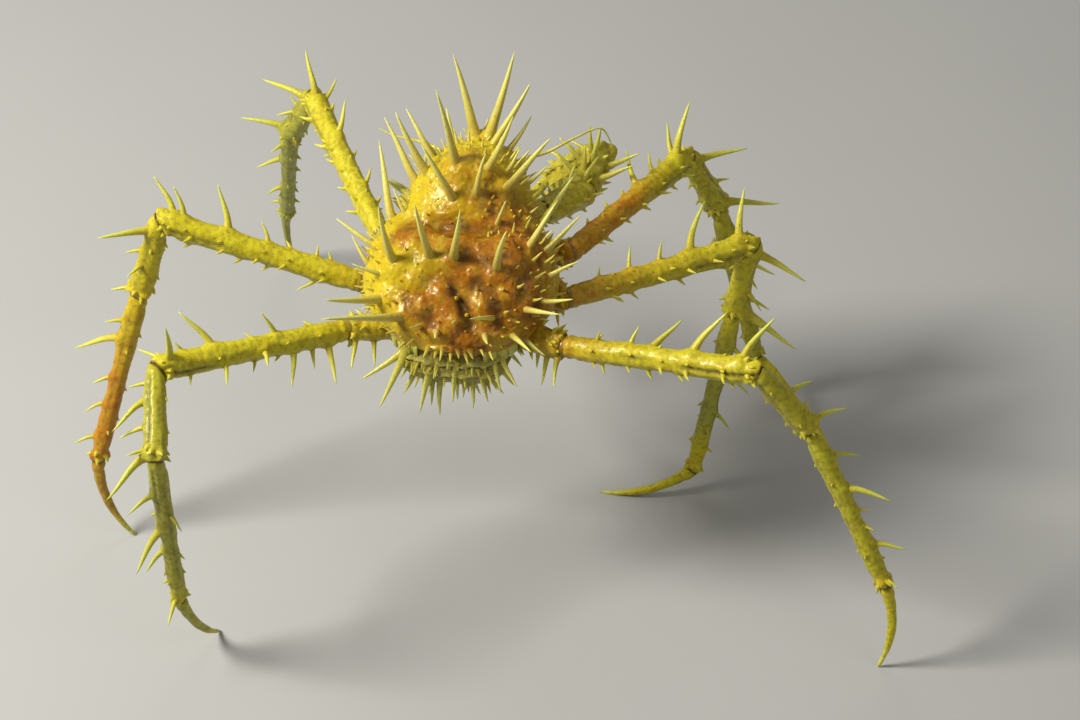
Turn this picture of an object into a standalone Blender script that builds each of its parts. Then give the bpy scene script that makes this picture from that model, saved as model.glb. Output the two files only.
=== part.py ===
"""A porcupine crab, a spiny deep-sea king crab, life size and still, standing on its six walking feet.

Lengths are in millimetres and angles in degrees until a mesh is made. The crab faces -Y, its left side is +X
and the floor is z = 0. The body frame has its origin inside the carapace, and the same directions before the
body is tipped.
"""

import math
import random
from collections import namedtuple

import bmesh
import bpy
import numpy as np
from mathutils import Matrix, Vector

MM = 0.001
GAP = 0.3
SEED = 11

# How the body is held: its middle above the floor, its front raised, its left side lower
BODY_HEIGHT = 170.0
FRONT_RAISED = 16.0
LEFT_LOWERED = 2.0

# Walking legs: lengths along each segment, and half thicknesses at stations along it
SEGMENT_LENGTHS = {"merus": 102.0, "carpus": 45.0, "propodus": 95.0, "dactyl": 49.0}
PROFILES = {
    "coxa": ((0.0, 7.0), (0.4, 7.2), (0.7, 6.8), (1.0, 6.3)),
    "merus": ((0.0, 5.4), (0.08, 5.8), (0.3, 5.8), (0.55, 5.9), (0.8, 6.4), (0.92, 6.8), (1.0, 5.4)),
    "carpus": ((0.0, 4.8), (0.2, 5.3), (0.5, 5.7), (0.8, 6.3), (0.93, 6.1), (1.0, 5.0)),
    "propodus": ((0.0, 4.6), (0.1, 5.2), (0.3, 4.7), (0.6, 4.2), (0.88, 4.4), (1.0, 3.7)),
    "dactyl": ((0.0, 3.4), (0.12, 3.6), (0.35, 3.0), (0.6, 2.4), (0.82, 1.7), (1.0, 1.1)),
}
LEG_FLATTENING = 0.9
DACTYL_BOW = 5.0
LEG_SIDES = 10

# Where each walking leg leaves the body and where each pair's coxa starts (body frame, as on the crab's left)
HIPS = {
    "left_2": (45.5, -17.5, -13.0), "left_3": (51.0, 9.0, -16.0), "left_4": (53.0, 38.0, -14.5),
    "right_2": (49.0, -16.0, -13.0), "right_3": (51.0, 9.0, -16.0), "right_4": (53.0, 38.0, -14.5),
}
COXA_ROOTS = {2: (24.3, -13.0, -18.2), 3: (24.3, 8.0, -18.2), 4: (24.3, 29.0, -18.2)}

# The pose: heading from straight ahead out to the leg's own side, and rise, of merus, carpus and propodus.
# The dactyl has only a heading, because its tip is on the floor, and how far its bow turns round it.
LEG_POSES = {
    "left_2": ((29.2, 6), (44, -58), (17, -65), 2, 0),
    "left_3": ((90, 15), (120, -72), (143, -69), -108, 0),
    "left_4": ((126, 9), (190, -31), (-56, -86), -33, 0),
    "right_2": ((28, -4), (53, -64), (111, -74), 134, 0),
    "right_3": ((55, -3), (-95, -81), (-142, -75), -103, -90),
    "right_4": ((107, 12), (81, -54), (109, -62), 179, 0),
}

# The long leg spines: share along the segment, angle from dorsal to the front, length, lean to the tip
LEG_SPINES = {
    "right_4_merus": ((0.18, 10, 6, 20), (0.34, 40, 10, 20), (0.43, 80, 24, 20), (0.66, 40, 26, 35),
                      (0.92, 30, 26, 35), (0.74, 100, 10, 35)),
    "right_4_carpus": ((0.5, 70, 19, 35), (0.93, 40, 18, 35)),
    "right_4_propodus": ((0.18, 30, 14, 35), (0.38, 0, 22, 35), (0.52, 10, 6, 35), (0.62, -10, 6, 35),
                         (0.74, 10, 16, 35), (0.96, -30, 7, 35)),
    "right_3_merus": ((0.17, 20, 6, 10), (0.34, 40, 12, 20), (0.5, 30, 10, 20), (0.67, 40, 26, 35),
                      (0.94, 30, 25, 20), (0.95, 70, 10, 35)),
    "right_3_carpus": ((0.1, -40, 28, 20), (0.6, -80, 12, 20), (0.75, -40, 12, 20), (0.94, -50, 32, 20)),
    "right_3_propodus": ((0.62, -50, 12, 35), (0.2, -60, 12, 30), (0.38, -40, 16, 30), (0.86, -20, 5, 35)),
    "right_2_merus": ((0.6, 50, 20, 30), (0.74, 50, 11, 35), (0.9, 10, 28, 35), (0.91, 45, 18, 35)),
    "right_2_carpus": ((0.12, -30, 25, 20), (0.6, -20, 8, 35), (0.42, -90, 8, 20), (0.93, -50, 27, 20)),
    "right_2_propodus": ((0.15, -60, 13, 30), (0.35, -50, 20, 35), (0.6, -60, 9, 35), (0.78, -50, 12, 35)),
    "left_2_merus": ((0.32, 50, 9, 45), (0.68, 30, 17, 40), (0.95, 0, 24, 45), (0.94, 55, 13, 35)),
    "left_2_carpus": ((0.1, -30, 26, 30), (0.44, -10, 7, 20), (0.4, -70, 10, 35), (0.9, -50, 22, 20)),
    "left_2_propodus": ((0.1, -90, 8, 35), (0.3, -70, 16, 35), (0.64, -80, 10, 35), (0.86, -60, 6, 20)),
    "left_3_merus": ((0.24, 30, 6, 10), (0.48, 30, 11, 35), (0.68, 35, 23, 30), (0.9, 20, 16, 35),
                     (0.95, 35, 21, 45)),
    "left_3_carpus": ((0.12, -20, 27, 10), (0.42, 0, 8, 25), (0.55, -50, 11, 15), (0.94, 10, 10, 30)),
    "left_3_propodus": ((0.16, 0, 9, 20), (0.27, 20, 26, 35), (0.5, 0, 10, 35), (0.66, 10, 12, 45),
                        (0.86, 0, 12, 35)),
    "left_4_merus": ((0.38, 20, 14, 30), (0.7, 40, 23, 35), (0.86, 30, 6, 35), (0.94, -10, 24, 15),
                     (0.94, 90, 14, 35), (0.66, -110, 12, 20), (0.46, -80, 14, 20), (0.3, -130, 18, 20),
                     (0.12, -130, 16, 5)),
    "left_4_carpus": ((0.15, 80, 9, 10), (0.34, 70, 22, 45), (0.62, 90, 14, 20), (0.9, 60, 9, 20),
                      (0.93, 95, 28, 45)),
    "left_4_propodus": ((0.22, 60, 16, 35), (0.46, 40, 26, 50), (0.62, 60, 16, 50), (0.36, -60, 10, 50),
                        (0.64, -70, 5, 35), (0.96, 10, 14, 35)),
}
# Rows of short spines: angle from dorsal towards the front of the leg, number, length
SHORT_ROWS = {
    "coxa": ((0, 2, 6.0), (-110, 2, 7.0), (110, 2, 7.0)),
    "merus": ((62, 5, 6.0), (-62, 5, 5.0), (128, 3, 7.0), (-135, 4, 7.5)),
    "carpus": ((70, 2, 6.0), (-75, 2, 6.0)),
    "propodus": ((75, 4, 6.0), (-80, 4, 5.0), (180, 2, 4.5)),
}
SHORT_LEAN = 22.0

# Chelipeds, body frame: root at the thorax, then the joints out to the finger tips
CLAW_JOINTS = {
    "left": (
        (24.3, -37, -17), (32, -41, -20), (38, -62, -48), (33, -74, -66), (17, -72, -96), (4, -66, -122),
    ),
    "right": (
        (-24.3, -37, -17), (-32, -42, -19), (-48, -68, -35), (-53, -86, -31), (-29, -86, -56), (-8, -80, -78),
    ),
}
CLAW_PROFILES = {
    "coxa": ((0.0, 6.0), (0.5, 6.2), (1.0, 5.8)),
    "merus": ((0.0, 6.0), (0.3, 7.2), (0.7, 8.2), (1.0, 7.6)),
    "carpus": ((0.0, 6.6), (0.35, 8.2), (0.75, 8.2), (1.0, 6.6)),
    "palm": ((0.0, 5.6), (0.22, 8.0), (0.6, 9.0), (0.85, 8.6), (1.0, 7.6)),
    "finger": ((0.0, 3.2), (0.3, 2.8), (0.7, 1.8), (1.0, 0.8)),
}
PALM_FLATTENING = 0.72
FINGER_OFFSET = 4.0
CLAW_SPINES = {
    "merus": ((0.35, 0, 8, 34), (0.6, 10, 12, 34), (0.85, -8, 18, 34)),
    "carpus": ((0.4, 5, 14, 34), (0.6, -10, 24, 34), (0.85, 8, 18, 34)),
    "palm": ((0.15, 8, 9, 34), (0.4, -8, 12, 34), (0.65, 6, 9, 34)),
}
CLAW_SHORT_ROWS = {
    "merus": ((75, 3, 7.0), (-75, 3, 7.0)),
    "carpus": ((60, 2, 16.0), (-60, 2, 22.0), (130, 1, 6.0)),
    "palm": ((55, 3, 7.0), (-55, 3, 8.0), (150, 2, 5.0)),
}

# Carapace, body frame: stations from front to rear, half width, crest and margin heights
STATION_Y = (-63, -57, -48, -35, -18, -3, 10, 22, 33, 42, 49, 52)
HALF_WIDTH = (10, 16.5, 22.5, 29, 35, 44, 47, 46, 40.5, 32, 22, 13)
CREST_Z = (7, 14, 20, 25, 23, 21, 22, 20, 15, 9.5, 4, 0)
MARGIN_Z = (2, 0, -3, -5.5, -7, -7, -7, -7, -7, -7, -7, -6)
# Regions that swell: middle x and y, radius in x and y, height; one off the middle is on both sides
REGIONS = (
    (0, -32, 18, 16, 7.0), (0, 13, 11, 10, 4.0), (26, 12, 13, 19, 5.0), (0, 37, 9, 8, 1.5),
    (25, -36, 8, 9, 2.5),
)
# The groove behind the gastric region: its y at the sides, how far it curves back, depth and width
GROOVE = (-7.0, 5.0, 4.5, 4.5)
CARAPACE_STATIONS = 20
CARAPACE_ARC = 18

# Carapace spines: x, y, length, and how far each leans to the crab's left
CARAPACE_SPINES = (
    (-7, -55, 38, -0.4), (13, -59, 20, -0.3), (-14, -56, 22, 0.0), (19, -49, 12, 0.0), (21, -45, 30, -0.2),
    (-20, -47, 11, 0.1), (24, -40, 12, 0.3), (-26, -38, 14, 0.1), (6, -31, 44, -0.1), (-9, -30, 36, 0.0),
    (21, -31, 36, -0.2), (27, -30, 37, -0.4), (-18, -34, 14, 0.1), (-24, -31, 8, -0.1), (-18, -24, 40, -0.2),
    (-5, -18, 28, -0.1), (5, -15, 36, 0.4), (-34.5, -16, 32, 0.2), (36.5, -9, 42, -0.4), (30, -12, 14, 0.0),
    (-16, -6, 18, -0.2), (43.3, 2, 24, 1.05), (-40, 2, 26, -0.3), (-33, 5, 28, -0.1), (45.3, 12.5, 17, -0.4),
    (-43, 14, 18, -0.7), (12, 18, 38, 0.1), (1, 18, 40, -0.2), (30, 20, 42, -0.4), (-20, 21, 36, -0.2),
    (36, 23, 16, 0.8), (-42, 26, 20, -0.1), (35, 33, 36, 0.2), (-34, 33, 26, -0.6), (-35, 40, 16, -0.2),
    (-21, 40, 20, 0.8), (22, 42, 50, 0.75), (-29, 43, 24, 0.0), (-3, 44, 16, 0.0), (-17, 47, 24, 0.0),
    (6, 48, 20, -0.2), (14, 46, 14, 0.1),
)
# How far spines lean forward, by their y
LEAN_Y = (-60, -48, -34, 18, 30, 52)
LEAN_FORWARD = (0.0, 0.2, 0.45, 0.5, 0.05, 0.0)
# Small spines along each side margin: how many, from and to which y, how high up the side, and length
MARGIN_SPINES = 9
MARGIN_REACH = (-46, 44)
MARGIN_TURN = (10, 24)
MARGIN_SPINE_LENGTH = 9.0
# Rostrum: share of its length, half width and half height; then each of its spines: root behind its front
# edge, way and length, the two long horns first
ROSTRUM_LENGTH = 8.0
ROSTRUM_Z = 5.6
ROSTRUM_SECTIONS = ((0.0, 6.0, 3.4), (0.5, 4.6, 3.2), (1.0, 2.0, 2.0))
ROSTRAL_SPINES = (
    ((4.0, -3.4, 7.2), (0.27, -0.55, 0.79), 42.5), ((-3.2, -3.4, 7.2), (-0.25, -0.55, 0.79), 46.0),
    ((0.0, -7.0, 5.4), (0.0, -1.0, -0.3), 12.0),
)

# Thorax, a block under the carapace that carries the limbs, and the abdomen folded under it
THORAX_Y = (-50.0, -42.0, 38.0, 43.0)
THORAX_HALF_WIDTH = (20.0, 24.0, 24.0, 20.0)
THORAX_BOTTOM = -26.0
THORAX_CHAMFER = (6.0, 5.0)
ABDOMEN_BASE_FRONT = 43.3
ABDOMEN_BASE_MIDDLE = -16.6
ABDOMEN_BASE_OUTLINE = (
    (43.3, -7.6), (50.5, -7.6), (55.5, -11.0), (58.0, -18.0), (57.0, -25.7), (43.3, -25.7),
)
ABDOMEN_BASE_HALF_WIDTH = 25.0
ABDOMEN_BASE_SECTIONS = ((-1.0, 0.62), (-0.72, 0.92), (0.0, 1.0), (0.72, 0.92), (1.0, 0.62))
# Spines on the abdomen: root, way and length of each on its base; how many and how long along the flap
ABDOMEN_SPINES = (
    ((23, 51.5, -11), (0.38, 0.69, -0.62), 31), ((24, 49, -14), (0.8, 0.53, -0.3), 26),
    ((19, 55.5, -23), (0.43, 0.4, -0.8), 14), ((10.5, 57, -16), (0.2, 0.49, -0.85), 25),
    ((7, 55.5, -12), (0.13, 0.7, -0.7), 9), ((10, 56.5, -24), (0.02, 0.58, -0.82), 15),
    ((6, 57, -23), (0.0, 0.48, -0.88), 21), ((-2.5, 56, -12.5), (0.05, 0.5, -0.85), 20.5),
    ((-10.5, 57, -24), (-0.04, 0.55, -0.83), 14.5), ((-15, 56, -18), (-0.22, 0.42, -0.88), 16.5),
    ((-21.5, 52.5, -12.5), (-0.28, 0.73, -0.63), 15), ((-24, 49.5, -10.5), (-0.56, 0.69, -0.46), 17.5),
)
ABDOMEN_SPINE_DEPTH = 1.2
ABDOMEN_SPINE_INSET = 0.96
FLAP_ROWS = ((5, 14.0), (5, 14.0), (5, 13.0), (5, 10.0), (5, 10.0), (3, 10.0), (3, 10.0))
FLAP_ROW_Y = (49.5, 11.0)
FLAP_Y = (54.0, 50.0, 40.0, 22.0, 0.0, -16.0, -26.0)
FLAP_HALF_WIDTH = (17.0, 22.0, 26.0, 26.0, 22.0, 14.0, 6.0)
FLAP_THICKNESS = (3.0, 6.0, 8.0, 8.0, 7.0, 5.0, 3.0)

# Eyes, feelers and mouth legs, body frame, crab's left
EYE_STALK = ((6.5, -50.3, -8.6), (9.5, -65.0, -9.5), 2.6)
EYE_RADIUS = 3.5
ANTENNA_BASE = ((15.5, -50.3, -12.5), (21.0, -66.0, -9.0), 3.2)
FLAGELLA = {
    "left": ((21.2, -66.9, -8.8), (31, -72, -10), (42, -77, -14), (50, -80.5, -17), (57, -84, -17)),
    "right": ((-21.2, -66.9, -8.8), (-31, -70, -7), (-44, -76, -2), (-56, -82, -1), (-62, -79, -12)),
}
FLAGELLUM_RADII = (1.1, 0.35)
ANTENNULE = ((4.0, -50.3, -14.0), (4.2, -63.0, -17.5), (5.0, -72.0, -16.0), 1.5)
MAXILLIPED = ((8.0, -50.3, -20.5), (9.5, -61.0, -26.0), (8.0, -67.0, -37.0), (5.5, -63.0, -50.0))
MAXILLIPED_RADII = (3.6, 3.4, 2.8, 1.2)

# Spines: half thickness from length, its share left halfway up a long one, and the room kept to other nodes
SPINE_RADIUS = (0.6, 0.055)
SPINE_MOST_RADIUS = 2.9
SPINE_WAIST = (0.5, 0.66)
SPINE_CLEARANCE = 0.8
SHORTEST_SPINE = 3.0
FLOOR_CLEARANCE = 2.0
LONG_SPINE = 19.0

YELLOW = (0.62, 0.52, 0.09)
AMBER = (0.60, 0.30, 0.04)
OLIVE = (0.42, 0.43, 0.10)
PALE = (0.66, 0.62, 0.28)
DARK = (0.03, 0.025, 0.02)

BODY = (
    Matrix.Translation((0, 0, BODY_HEIGHT))
    @ Matrix.Rotation(math.radians(-FRONT_RAISED), 4, "X")
    @ Matrix.Rotation(math.radians(LEFT_LOWERED), 4, "Y")
)
BODY_BACK = BODY.inverted()
RANDOM = random.Random(SEED)
Piece = namedtuple("Piece", "name start end up side profile start_cut end_cut bow flat")


def on_body(point):
    return BODY @ Vector(point)


def along_body(direction):
    return (BODY.to_3x3() @ Vector(direction)).normalized()


def mirrored(point, side):
    return Vector((point[0] if side == "left" else -point[0], point[1], point[2]))


def smooth(value, xs, ys):
    """A smooth curve through the stations, read at value."""
    xs, ys = np.array(xs, float), np.array(ys, float)
    slopes = np.gradient(ys, xs)
    i = int(np.clip(np.searchsorted(xs, value) - 1, 0, len(xs) - 2))
    step = xs[i + 1] - xs[i]
    t = (value - xs[i]) / step
    near = (1 + 2 * t) * (1 - t) ** 2 * ys[i] + t * (1 - t) ** 2 * step * slopes[i]
    far = t * t * (3 - 2 * t) * ys[i + 1] + t * t * (t - 1) * step * slopes[i + 1]
    return near + far


def shell_material(colour, roughness):
    name = "shell_%02d_%02d_%02d" % tuple(int(99 * c) for c in colour)
    made = bpy.data.materials.get(name) or bpy.data.materials.new(name)
    made.use_nodes = True
    shader = made.node_tree.nodes["Principled BSDF"]
    shader.inputs["Base Color"].default_value = (*colour, 1)
    shader.inputs["Roughness"].default_value = roughness
    return made


def solid(name, points, faces, colour=YELLOW, roughness=0.35):
    """A named closed object, facing out, from points in millimetres."""
    work = bmesh.new()
    corners = [work.verts.new(Vector(p) * MM) for p in points]
    for face in faces:
        work.faces.new([corners[i] for i in face])
    bmesh.ops.recalc_face_normals(work, faces=work.faces)
    mesh = bpy.data.meshes.new(name)
    work.to_mesh(mesh)
    work.free()
    mesh.materials.append(shell_material(colour, roughness))
    made = bpy.data.objects.new(name, mesh)
    bpy.context.scene.collection.objects.link(made)
    return made


def lofted(rings):
    """Points and faces of a closed solid through rings of equal count, with flat ends."""
    count = len(rings[0])
    points = [p for ring in rings for p in ring]
    faces = []
    for i in range(len(rings) - 1):
        a, b = i * count, (i + 1) * count
        for j in range(count):
            k = (j + 1) % count
            faces.append((a + j, a + k, b + k, b + j))
    faces.append(tuple(range(count))[::-1])
    last = (len(rings) - 1) * count
    faces.append(tuple(last + j for j in range(count)))
    return points, faces


def joined(base, pieces):
    """base with the closed pieces fused to it: one closed surface, the largest."""
    group = bpy.data.collections.new(base.name + "_pieces")
    bpy.context.scene.collection.children.link(group)
    for piece in pieces:
        group.objects.link(piece)
        bpy.context.scene.collection.objects.unlink(piece)
    join = base.modifiers.new("Join", "BOOLEAN")
    join.operation = "UNION"
    join.operand_type = "COLLECTION"
    join.collection = group
    join.solver = "EXACT"
    bpy.context.view_layer.update()
    fused = bpy.data.meshes.new_from_object(base.evaluated_get(bpy.context.evaluated_depsgraph_get()))
    base.modifiers.clear()
    base.data = fused
    for piece in pieces:
        bpy.data.objects.remove(piece)
    bpy.data.collections.remove(group)
    keep_largest(base.data)
    return base


def keep_largest(mesh):
    """Removes every loose surface but the one with the most points."""
    work = bmesh.new()
    work.from_mesh(mesh)
    left = set(work.verts)
    shells = []
    while left:
        front = [left.pop()]
        shell = set(front)
        while front:
            for edge in front.pop().link_edges:
                for vert in edge.verts:
                    if vert in left:
                        left.discard(vert)
                        shell.add(vert)
                        front.append(vert)
        shells.append(shell)
    shells.sort(key=len)
    for shell in shells[:-1]:
        bmesh.ops.delete(work, geom=list(shell), context="VERTS")
    work.to_mesh(mesh)
    work.free()


class Room:
    """What is taken already, as round bars with a node's name, so that spines keep clear of other nodes."""

    def __init__(self):
        self.names, self.starts, self.ends, self.radii = [], [], [], []

    def take(self, name, start, end, radius):
        self.names.append(name)
        self.starts.append(tuple(start))
        self.ends.append(tuple(end))
        self.radii.append(radius)

    def is_clear(self, name, start, end, radius):
        other = np.array([n != name for n in self.names])
        a, b = np.array(self.starts)[other], np.array(self.ends)[other]
        r = np.array(self.radii)[other]
        run = b - a
        for share in np.linspace(0.1, 1.0, 9):
            p = np.array(start) * (1 - share) + np.array(end) * share
            t = np.clip(((p - a) * run).sum(1) / (run * run).sum(1), 0, 1)
            space = np.linalg.norm(a + run * t[:, None] - p, axis=1) - r - radius * (1 - 0.8 * share)
            if space.min() < SPINE_CLEARANCE:
                return False
            if name != "carapace" and in_carapace(p):
                return False
        return end[2] > FLOOR_CLEARANCE


ROOM = Room()


def spine(node, base, direction, length, sink):
    """A tapered closed spine on node, shortened to keep clear of others, or None if it gets too short."""
    direction = Vector(direction).normalized()
    base = Vector(base)
    while not ROOM.is_clear(node, base, base + direction * length, spine_radius(length)):
        length *= 0.8
        if length < SHORTEST_SPINE:
            return None
    radius = spine_radius(length)
    tip = base + direction * length
    ROOM.take(node, base, base + direction * length * 0.85, radius * 0.6)
    sides = 5 if length >= LONG_SPINE else 4
    across = direction.orthogonal().normalized()
    beside = direction.cross(across)
    stations = [(-sink / length, 1.0), (0.0, 1.0)]
    if length >= LONG_SPINE:
        stations.append(SPINE_WAIST)
    points = []
    for share, width in stations:
        middle = base + direction * length * share
        for j in range(sides):
            turn = 2 * math.pi * (j + 0.37) / sides
            points.append(middle + (across * math.cos(turn) + beside * math.sin(turn)) * radius * width)
    points.append(tip)
    faces = []
    for i in range(len(stations) - 1):
        for j in range(sides):
            k = (j + 1) % sides
            faces.append((i * sides + j, i * sides + k, (i + 1) * sides + k, (i + 1) * sides + j))
    last = (len(stations) - 1) * sides
    for j in range(sides):
        faces.append((last + j, last + (j + 1) % sides, len(points) - 1))
    faces.append(tuple(range(sides)))
    return solid(node + "_spine", points, faces)


def spine_radius(length):
    return min(SPINE_RADIUS[0] + SPINE_RADIUS[1] * length, SPINE_MOST_RADIUS)


def varied(length):
    return length * RANDOM.uniform(0.86, 1.14)


def radius_at(piece, share):
    return float(np.interp(share, *zip(*piece.profile)))


def centre_at(piece, share):
    return piece.start.lerp(piece.end, share) + piece.bow * 4 * share * (1 - share)


def limb_rings(piece, sides):
    """The rings of a limb piece. Those near a joint slide into the plane that both its pieces are cut by."""
    axis = (piece.end - piece.start).normalized()
    length = (piece.end - piece.start).length
    rings = []
    for share, radius in piece.profile:
        from_start, from_end = share * length, (1 - share) * length
        cut, near, gap = piece.start_cut, from_start, GAP / 2
        if from_end < from_start:
            cut, near, gap = piece.end_cut, from_end, -GAP / 2
        fade = max(0.0, 1 - near / (2.0 * radius)) if near > 1e-6 else 1.0
        ring = []
        for j in range(sides):
            turn = 2 * math.pi * j / sides
            out = piece.up * radius * math.cos(turn) + piece.side * radius * piece.flat * math.sin(turn)
            slide = (gap - cut.dot(out)) / cut.dot(axis)
            ring.append(centre_at(piece, share) + out + axis * slide * fade)
        rings.append(ring)
    return rings


def limb_spine(piece, share, angle, length, lean):
    """A spine on a limb piece at a share of its length and an angle from dorsal towards the front."""
    axis = (piece.end - piece.start).normalized()
    turn = math.radians(angle)
    out = (piece.up * math.cos(turn) + piece.side * piece.flat * math.sin(turn)).normalized()
    radius = radius_at(piece, share)
    base = centre_at(piece, share) + out * radius * 0.93
    way = out * math.cos(math.radians(lean)) + axis * math.sin(math.radians(lean))
    return spine(piece.name, base, way, length, radius * 0.55)


def limb_spines(piece, long_ones, rows):
    made = [limb_spine(piece, *one) for one in long_ones]
    for angle, count, length in rows:
        for i in range(count):
            share = 0.16 + 0.72 * (i + 0.5 + RANDOM.uniform(-0.2, 0.2)) / count
            made.append(limb_spine(piece, share, angle + RANDOM.uniform(-9, 9), varied(length), SHORT_LEAN))
    return [one for one in made if one]


def take_limb(piece):
    length = (piece.end - piece.start).length
    trim = min(0.3, 0.6 * radius_at(piece, 0.5) / length)
    stations = np.linspace(trim, 1 - trim, 4)
    for a, b in zip(stations[:-1], stations[1:]):
        ROOM.take(piece.name, centre_at(piece, a), centre_at(piece, b), radius_at(piece, (a + b) / 2))


def carried(up, old_axis, new_axis):
    """up turned with the axis from one limb piece to the next."""
    return old_axis.rotation_difference(new_axis) @ up


def limb_pieces(names, profiles, joints, first_cut, last_cut, flat, side, ups_from=1):
    """Limb pieces through the joints, each cut by the plane halfway between it and the next."""
    axes = [(b - a).normalized() for a, b in zip(joints[:-1], joints[1:])]
    up = Vector((0, 0, 1))
    up = (up - axes[ups_from] * up.dot(axes[ups_from])).normalized()
    ups = [None] * len(axes)
    ups[ups_from] = up
    for i in range(ups_from + 1, len(axes)):
        ups[i] = carried(ups[i - 1], axes[i - 1], axes[i])
    for i in range(ups_from - 1, -1, -1):
        ups[i] = carried(ups[i + 1], axes[i + 1], axes[i])
    cuts = [first_cut] + [(a + b).normalized() for a, b in zip(axes[:-1], axes[1:])] + [last_cut]
    pieces = []
    for i, name in enumerate(names):
        sideways = axes[i].cross(ups[i]) * (1 if side == "left" else -1)
        straight = Vector((0, 0, 0))
        pieces.append(Piece(name, joints[i], joints[i + 1], ups[i], sideways, profiles[i],
                            cuts[i], cuts[i + 1], straight, flat))
    return pieces


def heading_vector(heading, rise, side):
    across = math.sin(math.radians(heading)) * (1 if side == "left" else -1)
    flat = math.cos(math.radians(rise))
    return Vector((across * flat, -math.cos(math.radians(heading)) * flat, math.sin(math.radians(rise))))


def leg_joints(name):
    """Coxa root, hip, knee, wrist, ankle and tip of a walking leg."""
    side, pair = name.split("_")
    pose = LEG_POSES[name]
    joints = [on_body(mirrored(COXA_ROOTS[int(pair)], side)), on_body(mirrored(HIPS[name], side))]
    for segment, (heading, rise) in zip(("merus", "carpus", "propodus"), pose[:3]):
        joints.append(joints[-1] + heading_vector(heading, rise, side) * SEGMENT_LENGTHS[segment])
    fall = math.degrees(math.asin(joints[-1].z / SEGMENT_LENGTHS["dactyl"]))
    joints.append(joints[-1] + heading_vector(pose[3], -fall, side) * SEGMENT_LENGTHS["dactyl"])
    return joints


def leg_pieces(name):
    side = name.split("_")[0]
    segments = ("coxa", "merus", "carpus", "propodus", "dactyl")
    outward = along_body((1 if side == "left" else -1, 0, 0))
    pieces = limb_pieces(["leg_%s_%s" % (name, s) for s in segments], [PROFILES[s] for s in segments],
                         leg_joints(name), outward, Vector((0, 0, -1)), LEG_FLATTENING, side)
    turn = math.radians(LEG_POSES[name][4])
    last = pieces[-1]
    bow = (last.up * math.cos(turn) + last.side * math.sin(turn)) * DACTYL_BOW
    pieces[-1] = last._replace(bow=bow)
    return pieces


def claw_pieces(side):
    joints = [on_body(p) for p in CLAW_JOINTS[side]]
    segments = ("coxa", "merus", "carpus", "palm", "finger")
    outward = along_body((1 if side == "left" else -1, 0, 0))
    names = ["claw_%s_%s" % (side, s) for s in segments]
    ends = (joints[-1] - joints[-2]).normalized()
    profiles = [CLAW_PROFILES[s] for s in segments]
    pieces = limb_pieces(names, profiles, joints, outward, ends, LEG_FLATTENING, side)
    palm, finger = pieces[3], pieces[4]
    palm = palm._replace(flat=PALM_FLATTENING)
    up = finger.up * FINGER_OFFSET
    fixed = finger._replace(name=palm.name, start=finger.start - up - ends * 4, end=finger.end - up * 0.8)
    start = finger.start + up
    start -= palm.end_cut * (start - palm.end).dot(palm.end_cut)
    finger = finger._replace(start=start, end=finger.end - up * 0.2)
    square = (finger.end - finger.start).normalized()
    finger = finger._replace(start_cut=palm.end_cut, end_cut=square)
    return pieces[:3] + [palm, finger], fixed


def limb_object(piece, colour, extra=()):
    rings = [[Vector((p.x, p.y, max(p.z, 0.0))) for p in ring] for ring in limb_rings(piece, LEG_SIDES)]
    made = solid(piece.name, *lofted(rings), colour)
    return joined(made, list(extra)) if extra else made


def make_legs():
    legs = {name: leg_pieces(name) for name in LEG_POSES}
    claws = {side: claw_pieces(side) for side in ("left", "right")}
    for pieces in legs.values():
        for piece in pieces:
            take_limb(piece)
    for pieces, fixed in claws.values():
        for piece in pieces + [fixed]:
            take_limb(piece)
    for pieces in legs.values():
        for piece in pieces:
            segment = piece.name.split("_")[-1]
            spines = limb_spines(piece, LEG_SPINES.get(piece.name[4:], ()), SHORT_ROWS.get(segment, ()))
            limb_object(piece, YELLOW, spines)
    for pieces, fixed in claws.values():
        for piece in pieces:
            segment = piece.name.split("_")[-1]
            spines = limb_spines(piece, CLAW_SPINES.get(segment, ()), CLAW_SHORT_ROWS.get(segment, ()))
            if segment == "palm":
                spines.append(solid("fixed_finger", *lofted(limb_rings(fixed, LEG_SIDES))))
            limb_object(piece, OLIVE, spines)


def region_lift(x, y):
    """How far the regions and the groove lift the carapace at x, y."""
    at, curve, depth, width = GROOVE
    line = at + curve * (1 - (x / 26) ** 2)
    lift = -depth * math.exp(-((y - line) / width) ** 2) * math.exp(-((x / 30) ** 4))
    for middle_x, middle_y, radius_x, radius_y, height in REGIONS:
        for mx in {middle_x, -middle_x}:
            lift += height * math.exp(-((x - mx) / radius_x) ** 2 - ((y - middle_y) / radius_y) ** 2)
    return lift


def carapace_point(turn, y):
    """A point of the carapace's top at y, turn from its left margin (0) over the crest to the right (pi)."""
    width = smooth(y, STATION_Y, HALF_WIDTH)
    crest, margin = smooth(y, STATION_Y, CREST_Z), smooth(y, STATION_Y, MARGIN_Z)
    across, over = math.cos(turn), max(0.0, math.sin(turn))
    x = width * math.copysign(abs(across) ** 0.85, across)
    z = margin + (crest - margin) * over ** 0.8
    return Vector((x, y, z + region_lift(x, y) * over ** 1.2))


def turn_of(x, y):
    share = max(-1.0, min(1.0, x / smooth(y, STATION_Y, HALF_WIDTH)))
    return math.acos(math.copysign(abs(share) ** (1 / 0.85), share))


def carapace_normal(turn, y):
    step = 0.02
    across = carapace_point(min(math.pi - 0.01, turn + step), y) - carapace_point(max(0.01, turn - step), y)
    along = carapace_point(turn, min(51.9, y + 1)) - carapace_point(turn, max(-62.9, y - 1))
    normal = across.cross(along).normalized()
    return -normal if normal.z < -0.2 else normal


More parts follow.
